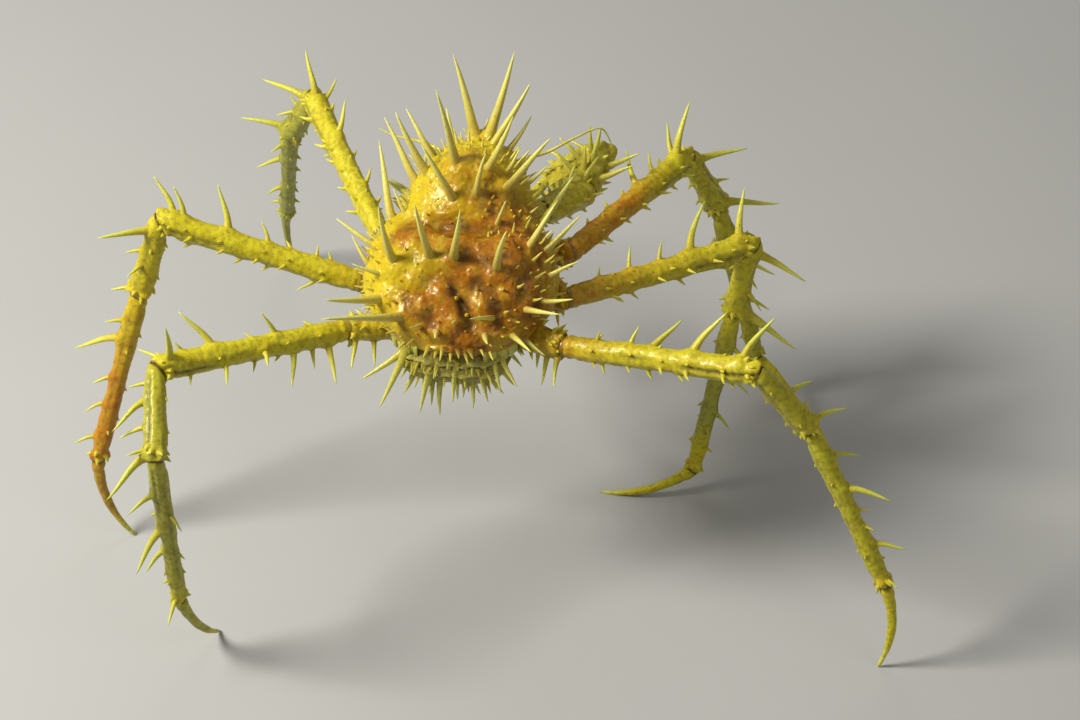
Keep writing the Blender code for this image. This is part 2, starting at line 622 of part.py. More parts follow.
def in_carapace(point):
    x, y, z = BODY_BACK @ Vector(point)
    if not STATION_Y[0] - 1 < y < STATION_Y[-1] + 1:
        return False
    y = min(max(y, STATION_Y[0]), STATION_Y[-1])
    if abs(x) > smooth(y, STATION_Y, HALF_WIDTH) + 1:
        return False
    return smooth(y, STATION_Y, MARGIN_Z) - 1 < z < carapace_point(turn_of(x, y), y).z + 1


def carapace_spine(x, y, length, leftwards):
    turn = turn_of(x, y)
    base, normal = carapace_point(turn, y), carapace_normal(turn, y)
    lean = smooth(y, LEAN_Y, LEAN_FORWARD)
    way = Vector((normal.x + leftwards, normal.y - lean, normal.z + 0.15))
    return spine("carapace", on_body(base - normal * 0.4), along_body(way), length, 4.0)


def margin_spines():
    """Small spines along the carapace's lower edge, both sides, out and a little down."""
    made = []
    for side in (1, -1):
        for i in range(MARGIN_SPINES):
            y = float(np.interp(i, (0, MARGIN_SPINES - 1), MARGIN_REACH)) + RANDOM.uniform(-2, 2)
            turn = math.radians(RANDOM.uniform(*MARGIN_TURN))
            turn = turn if side > 0 else math.pi - turn
            base = carapace_point(turn, y)
            way = carapace_normal(turn, y) + Vector((0, -0.2, 0.05))
            length = varied(MARGIN_SPINE_LENGTH)
            made.append(spine("carapace", on_body(base - way * 0.3), along_body(way), length, 4.0))
    return made


def shell_stations():
    return np.linspace(STATION_Y[0], STATION_Y[-1], CARAPACE_STATIONS)


def make_carapace():
    rings = []
    for y in shell_stations():
        ring = [carapace_point(math.pi * i / CARAPACE_ARC, y) for i in range(CARAPACE_ARC + 1)]
        right, left = ring[-1], ring[0]
        ring += [right.lerp(left, share) for share in (0.3, 0.7)]
        rings.append([on_body(p) for p in ring])
    base = solid("carapace", *lofted(rings), AMBER, 0.25)
    spines = [carapace_spine(*one) for one in CARAPACE_SPINES] + margin_spines()
    joined(base, [one for one in spines if one])


def make_rostrum():
    front = STATION_Y[0] - GAP
    rings = []
    for share, half_width, half_height in ROSTRUM_SECTIONS:
        middle = Vector((0, front - ROSTRUM_LENGTH * share, ROSTRUM_Z))
        rings.append([on_body(middle + Vector((half_width * math.cos(a), 0, half_height * math.sin(a))))
                      for a in (2 * math.pi * j / 8 for j in range(8))])
    base = solid("rostrum", *lofted(rings), YELLOW)
    spines = []
    for (x, y, z), way, length in ROSTRAL_SPINES:
        spines.append(spine("rostrum", on_body((x, front + y, z)), along_body(way), length, 2.0))
    joined(base, [one for one in spines if one])


def make_thorax():
    rings = []
    inner = [y for y in shell_stations() if THORAX_Y[0] < y < THORAX_Y[-1]]
    for y in [THORAX_Y[0]] + inner + [THORAX_Y[-1]]:
        half = float(np.interp(y, THORAX_Y, THORAX_HALF_WIDTH))
        top, bottom = shell_underside(y) - GAP, THORAX_BOTTOM
        in_by, up_by = THORAX_CHAMFER
        left = ((half, top), (half, bottom + up_by), (half - in_by, bottom))
        outline = left + tuple((-x, z) for x, z in reversed(left))
        rings.append([on_body((x, y, z)) for x, z in outline])
    solid("thorax", *lofted(rings), YELLOW)


def shell_underside(y):
    """The height of the carapace's flat underside at y, between its stations."""
    stations = shell_stations()
    return float(np.interp(y, stations, [smooth(s, STATION_Y, MARGIN_Z) for s in stations]))


def make_abdomen_base():
    rings = []
    for share, scale in ABDOMEN_BASE_SECTIONS:
        ring = []
        for y, z in ABDOMEN_BASE_OUTLINE:
            back = ABDOMEN_BASE_FRONT + (y - ABDOMEN_BASE_FRONT) * scale
            high = ABDOMEN_BASE_MIDDLE + (z - ABDOMEN_BASE_MIDDLE) * scale
            ring.append(on_body((share * ABDOMEN_BASE_HALF_WIDTH, back, high)))
        rings.append(ring)
    base = solid("abdomen_base", *lofted(rings), OLIVE)
    spines = []
    for (x, y, z), way, length in ABDOMEN_SPINES:
        root = on_body((x * ABDOMEN_SPINE_INSET, y - ABDOMEN_SPINE_DEPTH, z))
        spines.append(spine("abdomen_base", root, along_body(way), length, 2.0))
    joined(base, [one for one in spines if one])


def make_abdomen_flap():
    rings = []
    top = THORAX_BOTTOM - GAP
    for y, half, thick in zip(FLAP_Y, FLAP_HALF_WIDTH, FLAP_THICKNESS):
        turns = np.linspace(0.12, math.pi - 0.12, 9)
        ring = [(half * math.cos(a), y, top - thick * math.sin(a) ** 0.7) for a in turns]
        ring = [(half, y, top)] + ring + [(-half, y, top)]
        rings.append([on_body(p) for p in ring])
    flap = solid("abdomen_flap", *lofted(rings), OLIVE)
    spines = []
    first, step = FLAP_ROW_Y
    for row, (count, length) in enumerate(FLAP_ROWS):
        y = first - row * step
        half = float(np.interp(-y, [-v for v in FLAP_Y], FLAP_HALF_WIDTH))
        thick = float(np.interp(-y, [-v for v in FLAP_Y], FLAP_THICKNESS))
        for i in range(count):
            share = (i - (count - 1) / 2) / (count / 2)
            x = share * half + RANDOM.uniform(-1, 1)
            z = top - thick * (1 - min(0.9, abs(x) / half) ** 2.5) ** 0.6
            way = (share * 0.8, 0.25, -1.0)
            root = on_body((x, y, z + 0.8))
            spines.append(spine("abdomen_flap", root, along_body(way), varied(length), thick * 0.45))
    joined(flap, [one for one in spines if one])


def tube(name, path, radii, sides, colour):
    """A round tapered solid along a path in the body frame, cut flat where it meets the thorax's front."""
    path = [on_body(p) for p in path]
    up = Vector((0, 0, 1))
    rings = []
    for i, p in enumerate(path):
        before, after = path[max(0, i - 1)], path[min(len(path) - 1, i + 1)]
        axis = (after - before).normalized()
        across = axis.cross(up).normalized()
        over = across.cross(axis)
        ring = [p + (across * math.cos(a) + over * math.sin(a)) * radii[i]
                for a in (2 * math.pi * j / sides for j in range(sides))]
        if i == 0:
            front = along_body((0, -1, 0))
            ring = [q - axis * (front.dot(q - p) / front.dot(axis)) for q in ring]
        rings.append(ring)
    return solid(name, *lofted(rings), colour)


def curve_points(points, steps):
    """Points on a smooth curve through the given ones, steps to each stretch."""
    points = [Vector(p) for p in points]
    ends = [points[0] * 2 - points[1]] + points + [points[-1] * 2 - points[-2]]
    made = []
    for p0, p1, p2, p3 in zip(ends, ends[1:], ends[2:], ends[3:]):
        for i in range(steps):
            t = i / steps
            made.append(0.5 * (2 * p1 + (p2 - p0) * t + (2 * p0 - 5 * p1 + 4 * p2 - p3) * t * t
                               + (3 * p1 - p0 - 3 * p2 + p3) * t ** 3))
    return made + [points[-1]]


def make_head():
    for side in ("left", "right"):
        start, end, radius = EYE_STALK
        start, end = mirrored(start, side), mirrored(end, side)
        path = (start, start.lerp(end, 0.5), end)
        tube("eye_stalk_" + side, path, (radius, radius * 0.85, radius), 8, YELLOW)
        middle = end + (end - start).normalized() * (EYE_RADIUS * 0.92 + GAP)
        make_eye("eye_" + side, on_body(middle), (end - start).normalized())
        start, end, radius = ANTENNA_BASE
        start, end = mirrored(start, side), mirrored(end, side)
        tube("antenna_base_" + side, (start, start.lerp(end, 0.4), start.lerp(end, 0.8), end),
             (radius, radius, radius * 0.7, radius * 0.5), 8, YELLOW)
        path = curve_points(FLAGELLA[side], 4)
        radii = np.linspace(*FLAGELLUM_RADII, len(path))
        tube("antenna_" + side, path, radii, 6, PALE)
        a, b, c, radius = ANTENNULE
        path = curve_points([mirrored(p, side) for p in (a, b, c)], 2)
        tube("antennule_" + side, path, np.linspace(radius, 0.5, len(path)), 6, PALE)
        path = curve_points([mirrored(p, side) for p in MAXILLIPED], 2)
        radii = np.interp(np.linspace(0, 3, len(path)), range(4), MAXILLIPED_RADII)
        tube("maxilliped_" + side, path, radii, 8, YELLOW)


def make_eye(name, middle, axis):
    """A rounded eye with a flat back towards its stalk."""
    axis = along_body(axis)
    across = axis.orthogonal().normalized()
    over = axis.cross(across)
    rings = []
    for latitude in (-62, -38, -10, 18, 44, 70):
        height, radius = math.sin(math.radians(latitude)), math.cos(math.radians(latitude))
        ring = []
        for j in range(10):
            a = 2 * math.pi * j / 10
            out = axis * height + (across * math.cos(a) + over * math.sin(a)) * radius
            ring.append(middle + out * EYE_RADIUS)
        rings.append(ring)
    solid(name, *lofted(rings), DARK, 0.1)


def centre_on_origin():
    """Moves the whole crab so that the middle of its box is over the origin and its feet stand at zero."""
    made = [o for o in bpy.context.scene.objects if o.type == "MESH"]
    corners = np.array([tuple(v.co) for o in made for v in o.data.vertices])
    low, high = corners.min(0), corners.max(0)
    shift = Matrix.Translation((-(low[0] + high[0]) / 2, -(low[1] + high[1]) / 2, 0))
    for one in made:
        one.data.transform(shift)
        one.data.shade_smooth()
        one.data.set_sharp_from_angle(angle=math.radians(50))


def take_body_room():
    """Books the room of the body's own pieces, so that no other node's spines reach into them."""
    for side in ("left", "right"):
        start, end, radius = ANTENNA_BASE
        start, end = on_body(mirrored(start, side)), on_body(mirrored(end, side))
        ROOM.take("antenna_base_" + side, start, end, radius)
        upper, lower = mirrored(MAXILLIPED[1], side), mirrored(MAXILLIPED[3], side)
        ROOM.take("maxilliped_" + side, on_body(upper), on_body(lower), MAXILLIPED_RADII[0])
        path = curve_points(FLAGELLA[side], 2)
        for a, b in zip(path[:-1], path[1:]):
            ROOM.take("antenna_" + side, on_body(a), on_body(b), FLAGELLUM_RADII[0])
    for x in (-16, 0, 16):
        ROOM.take("thorax", on_body((x, -42, -16)), on_body((x, 40, -16)), 9)
        ROOM.take("abdomen_flap", on_body((x, -16, -30)), on_body((x, 50, -30)), 4)
    ROOM.take("abdomen_base", on_body((-18, 50, -17)), on_body((18, 50, -17)), 8)


def main():
    for old in list(bpy.data.objects):
        bpy.data.objects.remove(old)
    take_body_room()
    make_rostrum()
    make_carapace()
    make_thorax()
    make_abdomen_base()
    make_abdomen_flap()
    make_head()
    make_legs()
    centre_on_origin()


main()
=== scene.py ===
"""The looks of a life-size porcupine crab: a varnished spiny shell on six long legs, in soft studio light.

Lengths are in millimetres until a mesh is made. Angles are in degrees, or in radians where that is said. The
crab faces -Y and its left is +X.
"""

import math
import random
from collections import namedtuple

import bpy
import numpy as np
from mathutils import Matrix, Vector, noise


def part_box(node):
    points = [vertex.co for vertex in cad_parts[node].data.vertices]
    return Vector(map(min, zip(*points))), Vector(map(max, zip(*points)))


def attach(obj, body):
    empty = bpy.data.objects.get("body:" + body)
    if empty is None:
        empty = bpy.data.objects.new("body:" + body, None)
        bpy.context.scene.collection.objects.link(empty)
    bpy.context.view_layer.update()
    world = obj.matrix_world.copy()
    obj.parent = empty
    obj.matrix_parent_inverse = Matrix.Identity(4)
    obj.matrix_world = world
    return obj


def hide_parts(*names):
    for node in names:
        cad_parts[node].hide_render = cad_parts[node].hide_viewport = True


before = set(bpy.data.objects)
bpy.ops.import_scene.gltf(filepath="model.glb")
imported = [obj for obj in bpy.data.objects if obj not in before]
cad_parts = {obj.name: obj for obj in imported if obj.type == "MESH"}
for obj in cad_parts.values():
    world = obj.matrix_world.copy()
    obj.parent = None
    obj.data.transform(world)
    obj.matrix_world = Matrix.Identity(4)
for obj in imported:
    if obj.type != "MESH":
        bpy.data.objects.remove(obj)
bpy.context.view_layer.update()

# The body's place. The crab hangs between its legs with its front raised and its left side a little lower.
# The body frame has its origin inside the shell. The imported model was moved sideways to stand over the
# origin, and the thorax, whose corners are known, tells how far.
MM = 0.001
BODY_HEIGHT = 170.0
FRONT_RAISED = 16.0
LEFT_LOWERED = 2.0
SIGN = {"left": 1, "right": -1}
THORAX_CORNERS = [
    (side * x, y, z) for side in (1, -1) for x, y, z in (
        (14, -50, -26), (20, -50, -21), (18, -42, -26), (24, -42, -21), (18, 38, -26), (24, 38, -21))
]

BODY = (
    Matrix.Translation((0, 0, BODY_HEIGHT))
    @ Matrix.Rotation(math.radians(-FRONT_RAISED), 4, "X")
    @ Matrix.Rotation(math.radians(LEFT_LOWERED), 4, "Y")
)


def on_body(point):
    """A point of the body frame, placed in the world."""
    return BODY @ Vector(point)


def along_body(direction):
    """A direction of the body frame, turned into the world."""
    return (BODY.to_3x3() @ Vector(direction)).normalized()


def mirrored(point, side):
    """A point that is given for the left side, on the side that is asked for."""
    return Vector((point[0] * SIGN[side], point[1], point[2]))


thorax_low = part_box("thorax")[0] / MM
corners = [on_body(corner) for corner in THORAX_CORNERS]
SHIFT = np.array([thorax_low.x - min(c.x for c in corners), thorax_low.y - min(c.y for c in corners), 0.0])

# The carapace: one domed shell of calcified plate, grown into swollen regions with a groove behind the
# foremost one. Long hollow spines rise from swellings all over it, with thorns and grains between them.
STATION_Y = (-63, -57, -48, -35, -18, -3, 10, 22, 33, 42, 49, 52)
HALF_WIDTH = (10, 16.5, 22.5, 29, 35, 44, 47, 46, 40.5, 32, 22, 13)
CREST_Z = (7, 14, 20, 25, 23, 21, 22, 20, 15, 9.5, 4, 0)
MARGIN_Z = (2, 0, -3, -5.5, -7, -7, -7, -7, -7, -7, -7, -6)
# Swollen regions, on both sides where x is not 0: x, y, radii and height
REGIONS = (
    (0, -32, 18, 16, 7.0), (0, 13, 11, 10, 4.0), (26, 12, 13, 19, 5.0), (0, 37, 9, 8, 1.5),
    (25, -36, 8, 9, 2.5),
)
# The groove: its place at the sides and bow towards the middle, then depth, width and reach of the form and
# of the line of painted shade in it
GROOVE_Y, GROOVE_BOW, BOW_REACH = -7.0, 5.0, 26
GROOVE_DEPTH, GROOVE_WIDTH, GROOVE_REACH = 4.5, 4.5, 30
SHADE_LINE_DARKNESS, SHADE_LINE_WIDTH = 0.55, 2.6
VALLEY_DEPTH = 2.4
SIDE_SQUARENESS, TOP_SQUARENESS = 0.85, 0.8
CARAPACE_STEP = 0.5
TOP_COLUMNS, UNDER_COLUMNS = 270, 30
CLOSING_RINGS, CLOSING_DEPTH = 24, 2.4
LUMP_SIZE, LUMP_HEIGHT = 8.0, 1.2
GRAIN_SIZE, GRAIN_HEIGHT = 2.4, 0.28
WRINKLE_SIZE, WRINKLE_HEIGHT = 2.6, 0.9
GRANULES, THORNS, MOST_TRIES = 1500, 190, 4000
# Where the strewn thorns stand: ends along y, the margin's band in radians, its share of them, and lengths
STREWN_Y = (-58, 51)
MARGIN_TURN, MARGIN_SHARE = 0.7, 0.6
MARGIN_LENGTHS, TOP_LENGTHS = (2.5, 8.0), (1.4, 3.4)
# Each spine: x, y, length, and how far it leans to the crab's left
CARAPACE_SPINES = (
    (-7, -55, 38, -0.4), (13, -59, 20, -0.3), (-14, -56, 22, 0.0), (19, -49, 12, 0.0), (21, -45, 30, -0.2),
    (-20, -47, 11, 0.1), (24, -40, 12, 0.3), (-26, -38, 14, 0.1), (6, -31, 44, -0.1), (-9, -30, 36, 0.0),
    (21, -31, 36, -0.2), (27, -30, 37, -0.4), (-18, -34, 14, 0.1), (-24, -31, 8, -0.1),
    (-18, -24, 40, -0.2), (-5, -18, 28, -0.1), (5, -15, 36, 0.4), (-34.5, -16, 32, 0.2),
    (36.5, -9, 42, -0.4), (30, -12, 14, 0.0), (-16, -6, 18, -0.2), (43.3, 2, 24, 1.05), (-40, 2, 26, -0.3),
    (-33, 5, 28, -0.1), (45.3, 12.5, 17, -0.4), (-43, 14, 18, -0.7), (12, 18, 38, 0.1), (1, 18, 40, -0.2),
    (30, 20, 42, -0.4), (-20, 21, 36, -0.2), (36, 23, 16, 0.8), (-42, 26, 20, -0.1), (35, 33, 36, 0.2),
    (-34, 33, 26, -0.6), (-35, 40, 16, -0.2), (-21, 40, 20, 0.8), (22, 42, 50, 0.75), (-29, 43, 24, 0.0),
    (-3, 44, 16, 0.0), (-17, 47, 24, 0.0), (6, 48, 20, -0.2), (14, 46, 14, 0.1),
)
# How far the spines lean forward, by their place along y
LEAN_Y = (-60, -48, -34, 18, 30, 52)
LEAN_FORWARD = (0.0, 0.2, 0.45, 0.5, 0.05, 0.0)
# Thorns at the front edge, on the flanks and between the rear spines: x, y, length
CROWDED_THORNS = (
    (10, -54, 9), (15, -51, 7), (5, -57, 7), (-3, -50, 5), (-10, -50, 8), (-17, -46, 9), (12, -44, 5),
    (16, -41, 8), (20, -38, 6), (2, -45, 4), (-6, -42, 4), (-14, -40, 5), (9, -60, 6), (-8, -60, 6),
    (-20, -41, 7), (24, -35, 7), (39, -7, 6), (43, -3, 8), (40, -3, 5), (44.5, 6, 7), (42, 7, 8),
    (38, 2, 5), (44.5, 18, 7), (45, 23, 6), (41, 13, 6), (36, -11, 7), (35, -5, 5), (43, 28, 6),
    (39, 33, 7), (37, 18, 5), (41.5, 0, 6), (39.5, 10, 5), (-38, 19, 10), (-31, 26, 9), (-26, 37, 8),
    (-24, 29, 7), (-36, 11, 9), (-30, -8, 8), (-25, -2, 6), (-19, 33, 5), (-14, 41, 7), (-38, -6, 8),
    (-41, 8, 8), (-38, 28, 9), (-29, 19, 6), (-22, 11, 5), (-12, 30, 4), (27, 36, 6),
)
# Thorns on the rear face: x, z, length
REAR_THORNS = (
    (10, -1.8, 5), (6, -3.5, 4), (3, -1.2, 6), (-1, -3, 5), (-4.5, -1.4, 4), (-8, -3.2, 6),
    (-10.5, -1.6, 4), (8, -4.6, 3),
)
# Blunt bosses on the rear half: x, y, height, radius
BOSSES = (
    (-17, 36, 3.0, 6.0), (-3, 44, 2.6, 5.0), (6, 33, 1.6, 5.0), (-11, 24, 1.6, 5.0), (13, 40, 2.0, 5.0),
    (22, 8, 1.8, 7.0), (-27, 14, 2.2, 7.0), (-28, 30, 2.4, 6.0), (20, 27, 1.6, 6.0), (0, -3, 1.4, 6.0),
)
# Where the shell turns amber: x, y, radius and strength
AMBER_PATCHES = (
    (1, -30, 15, 0.6), (-3, 2, 15, 0.9), (18, 0, 12, 0.7), (-10, 32, 17, 1.0), (-26, 20, 18, 1.0),
    (3, 40, 12, 0.9), (19, 38, 11, 0.8), (-30, 2, 16, 0.8), (-22, -18, 15, 0.6), (-38, 34, 14, 0.6),
    (28, 6, 9, 0.7), (-8, 50, 15, 0.6),
)

# A part's points carry four marks from 0 to 1: how much they are a pale tip, amber, grey or dark
# Grey and dark also carry painted shade and painted thorn shadows, besides real colour and dark joints
Part = namedtuple("Part", "points quads caps marks")
MARKS = ("tip", "amber", "grey", "dark")
SHORT_SPINE = 14.0
RANDOM = random.Random(11)


def curve(xs, ys, at):
    """A smooth curve through the stations, read at one value or many."""
    xs, ys, at = (np.asarray(v, float) for v in (xs, ys, at))
    slopes = np.gradient(ys, xs)
    i = np.clip(np.searchsorted(xs, at) - 1, 0, len(xs) - 2)
    step = xs[i + 1] - xs[i]
    t = (at - xs[i]) / step
    near = (1 + 2 * t) * (1 - t) ** 2 * ys[i] + t * (1 - t) ** 2 * step * slopes[i]
    far = t * t * (3 - 2 * t) * ys[i + 1] + t * t * (t - 1) * step * slopes[i + 1]
    return near + far


def tube_part(rings, marks):
    """A closed part through rings of points, capped flat at both ends and facing out."""
    rings = np.asarray(rings, float)
    count, sides = rings.shape[:2]
    index = np.arange(count * sides).reshape(count, sides)
    here, on = index[:-1], index[1:]
    quads = np.stack([here, np.roll(here, -1, 1), np.roll(on, -1, 1), on], -1).reshape(-1, 4)
    points = rings.reshape(-1, 3)
    a, b, c, d = (points[quads[:, k]] - points.mean(0) for k in range(4))
    inward = np.einsum("ij,ij->", a, np.cross(b, c)) + np.einsum("ij,ij->", a, np.cross(c, d)) < 0
    caps = [index[0][::-1].tolist(), index[-1].tolist()]
    if inward:
        quads, caps = quads[:, ::-1], [cap[::-1] for cap in caps]
    return Part(points, quads, caps, np.asarray(marks, float).reshape(-1, len(MARKS)))


def tube_on_body(rings, marks):
    """A closed part whose rings are given in the body frame."""
    turn, middle = np.array(BODY.to_3x3()), np.array(BODY.translation)
    return tube_part((rings.reshape(-1, 3) @ turn.T + middle).reshape(rings.shape), marks)


def crab_piece(name, parts, material, slot, *nodes):
    """One visible piece made of closed parts. It rides on the crab's only body and stands for CAD nodes."""
    points, quads, caps, marks, first = [], [], [], [], 0
    for part in parts:
        points.append(part.points)
        quads += (part.quads + first).tolist()
        caps += [[i + first for i in cap] for cap in part.caps]
        marks.append(part.marks)
        first += len(part.points)
    places = (np.vstack(points) + SHIFT) * MM
    mesh = bpy.data.meshes.new(name)
    mesh.from_pydata(places.tolist(), [], quads + caps)
    for mark, values in zip(MARKS, np.vstack(marks).T):
        layer = mesh.attributes.new(mark, "FLOAT", "POINT")
        layer.data.foreach_set("value", np.clip(values, 0, 1).astype(np.float32))
    mesh.shade_smooth()
    mesh.materials.append(material)
    made = bpy.data.objects.new(name, mesh)
    bpy.context.scene.collection.objects.link(made)
    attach(made, "root")
    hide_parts(*nodes)


def noise_at(points, size, seed):
    """Smooth noise from -1 to 1 with lumps of about that size."""
    offset = Vector((seed * 17.3, seed * 5.1, -seed * 9.7))
    values = [noise.noise(Vector(p) / size + offset) for p in points.reshape(-1, 3)]
    return np.array(values).reshape(points.shape[:-1])


def roughened(rings, size, seed, height):
    """Points pushed to and fro by noise."""
    return rings + noise_at(rings, size, seed)[..., None] * height


def hump(offset, width):
    """A bell curve that is 1 where the offset is 0."""
    return np.exp(-(offset / width) ** 2)


def rounded_end(rim, depth, smallest, count):
    """Rings that shrink from the rim to a small one and bulge out along y by the depth."""
    middle = rim.mean(0)
    return np.array([middle + (rim - middle) * share + np.array([0, depth * math.sqrt(1 - share * share), 0])
                     for share in np.linspace(0.98, smallest, count)])


def swung(first, second, turn):
    """The direction at a turn, in radians, from the first towards the second."""
    return first * math.cos(turn) + second * math.sin(turn)


def round_turns(sides):
    """The places of a ring's points round it, in radians."""
    return [2 * math.pi * i / sides for i in range(sides)]


def swollen(points, normals, roots):
    """Points pushed out round each root, which has a place, a height and a radius."""
    lift = np.zeros(points.shape[:-1])
    for place, height, radius in roots:
        away = ((points - np.array(place)) ** 2).sum(-1) / radius ** 2
        lift = np.maximum(lift, height * np.exp(-away))
    return points + normals * lift[..., None]


def spine_part(root, normal, way, length, radius, amber=0.3, grey=0.0, bend=0.05, curl=0.05):
    """A horn: a flared foot sunk in the shell, a shaft that curls from the normal to its way, a fine tip."""
    root, normal, way = Vector(root), Vector(normal).normalized(), Vector(way).normalized()
    sides, count = (14, 17) if length > 12 else (9, 10)
    sway = Vector((RANDOM.uniform(-1, 1), RANDOM.uniform(-1, 1), RANDOM.uniform(-1, 1))) * length * bend
    sink = min(2.2, 0.12 * length + 0.6)
    stops = (root - normal * sink, root + normal * curl * length + way * 0.12 * length,
             root + way * length * 0.55 + sway, root + way * length)
    shares = np.linspace(0, 1, count) ** 1.25
    across = normal.orthogonal().normalized()
    last_axis = normal
    ridge, turn_by = RANDOM.uniform(0.0, 0.07), RANDOM.uniform(0, 6)
    rings, marks = [], []
    for share in shares:
        a, b = 1 - share, share
        middle = stops[0] * a ** 3 + stops[1] * 3 * a * a * b + stops[2] * 3 * a * b * b + stops[3] * b ** 3
        axis = ((stops[1] - stops[0]) * a * a + (stops[2] - stops[1]) * 2 * a * b
                + (stops[3] - stops[2]) * b * b).normalized()
        across = last_axis.rotation_difference(axis) @ across
        beside, last_axis = axis.cross(across), axis
        run = share * length
        wide = radius * (1 - share ** 1.15) ** 0.66 * (1 + math.exp(-run / (0.9 + 0.05 * length))) + 0.08
        rings.append([middle + swung(across, beside, turn) * wide * (1 + ridge * math.cos(3 * turn + turn_by))
                      for turn in round_turns(sides)])
        paleness = share * min(1.0, length / SHORT_SPINE)
        marks += [(paleness, amber * (1 - share) ** 1.4, grey, 0.16 * (1 - share) ** 2)] * sides
    return tube_part(rings, marks)


def body_spine(place, way, length, radius, amber=0.3, grey=0.0, normal=None, raised=0.0):
    """A spine on a place in the body frame, or a little above it. It leaves along its way or a normal."""
    way = along_body(way)
    normal = along_body(normal) if normal else way
    return spine_part(on_body(place) + way * raised, normal, way, length, radius, amber, grey)


def groove_at(x, y, width, reach):
    """How deep in the groove a point lies, from 0 to 1."""
    line = GROOVE_Y + GROOVE_BOW * (1 - (x / BOW_REACH) ** 2)
    return hump(y - line, width) * np.exp(-((x / reach) ** 4))


def valley_at(x, y):
    """How deep in the slanting hollow behind the middle a point lies, from 0 to 1."""
    return hump(x + 1 + 0.6 * (y - 30), 2.4) * hump(y - 35, 8)


def lift_at(x, y):
    """How far the regions and the groove lift the carapace."""
    lift = -GROOVE_DEPTH * groove_at(x, y, GROOVE_WIDTH, GROOVE_REACH)
    for middle_x, middle_y, radius_x, radius_y, height in REGIONS:
        for at_x in {middle_x, -middle_x}:
            lift = lift + height * np.exp(-((x - at_x) / radius_x) ** 2 - ((y - middle_y) / radius_y) ** 2)
    return lift


def carapace_points(turn, y):
    """Points of the carapace's top, turned from its left margin (0) over the crest to the right (pi)."""
    turn, y = np.broadcast_arrays(np.asarray(turn, float), np.asarray(y, float))
    width = curve(STATION_Y, HALF_WIDTH, y)
    crest, margin = curve(STATION_Y, CREST_Z, y), curve(STATION_Y, MARGIN_Z, y)
    across, over = np.cos(turn), np.clip(np.sin(turn), 0, None)
    x = width * np.sign(across) * np.abs(across) ** SIDE_SQUARENESS
    z = margin + (crest - margin) * over ** TOP_SQUARENESS + lift_at(x, y) * over ** 1.2
    return np.stack([x, y, z], -1)


def turn_at(x, y):
    """The turn of the carapace's point above x, y."""
    share = np.clip(x / curve(STATION_Y, HALF_WIDTH, y), -1, 1)
    return np.arccos(np.sign(share) * np.abs(share) ** (1 / SIDE_SQUARENESS))


def carapace_normals(turn, y):
    """Outward normals, from the points a small step away on either side."""
    step = 0.02
    across = (carapace_points(np.minimum(math.pi - 0.01, turn + step), y)
              - carapace_points(np.maximum(0.01, turn - step), y))
    along = (carapace_points(turn, np.minimum(STATION_Y[-1] - 0.1, y + 1))
             - carapace_points(turn, np.maximum(STATION_Y[0] + 0.1, y - 1)))
    normals = np.cross(along, across)
    return normals / np.linalg.norm(normals, axis=-1, keepdims=True)


def amber_at(x, y):
    """How amber the carapace is at x, y, from 0 to 1."""
    amount = np.zeros(np.shape(x))
    for at_x, at_y, radius, strength in AMBER_PATCHES:
        amount = amount + strength * np.exp(-((x - at_x) ** 2 + (y - at_y) ** 2) / radius ** 2)
    return np.clip(amount, 0, 1)


def seat_on_carapace(x, y):
    """The place and normal of the shell at x, y, in the body frame."""
    turn = float(turn_at(x, y))
    return carapace_points(turn, float(y)), carapace_normals(turn, float(y))


def carapace_spines():
    """The long spines where the photo shows them, then thorns strewn between them and along the margin."""
    seats = []
    for x, y, length, leftwards in CARAPACE_SPINES:
        place, normal = seat_on_carapace(x, y)
        lean = float(curve(LEAN_Y, LEAN_FORWARD, y))
        way = Vector((normal[0] + leftwards, normal[1] - lean, normal[2] + 0.15))
        seats.append((place, normal, way, length))
    for x, y, length in CROWDED_THORNS:
        place, normal = seat_on_carapace(x, y)
        seats.append((place, normal, Vector((normal[0], normal[1] - 0.2, normal[2] + 0.2)), length))
    tries, listed = 0, len(seats)
    while len(seats) < listed + THORNS and tries < MOST_TRIES:
        tries += 1
        y = RANDOM.uniform(*STREWN_Y)
        turn = RANDOM.uniform(0.06, math.pi - 0.06)
        if RANDOM.random() < MARGIN_SHARE:
            left, right = RANDOM.uniform(0.1, MARGIN_TURN), math.pi - RANDOM.uniform(0.1, MARGIN_TURN)
            turn = RANDOM.choice((left, right))
        place, normal = carapace_points(turn, y), carapace_normals(turn, y)
        room = min(np.linalg.norm(place - seat[0]) - 1.5 - 0.06 * seat[3] for seat in seats)
        near_margin = min(turn, math.pi - turn) < MARGIN_TURN
        length = RANDOM.uniform(*(MARGIN_LENGTHS if near_margin else TOP_LENGTHS))
        if room < 0.8 + 0.25 * length:
            continue
        way = Vector((normal[0], normal[1] - 0.25, normal[2] + 0.1))
        seats.append((place, normal, way, length))
    return seats


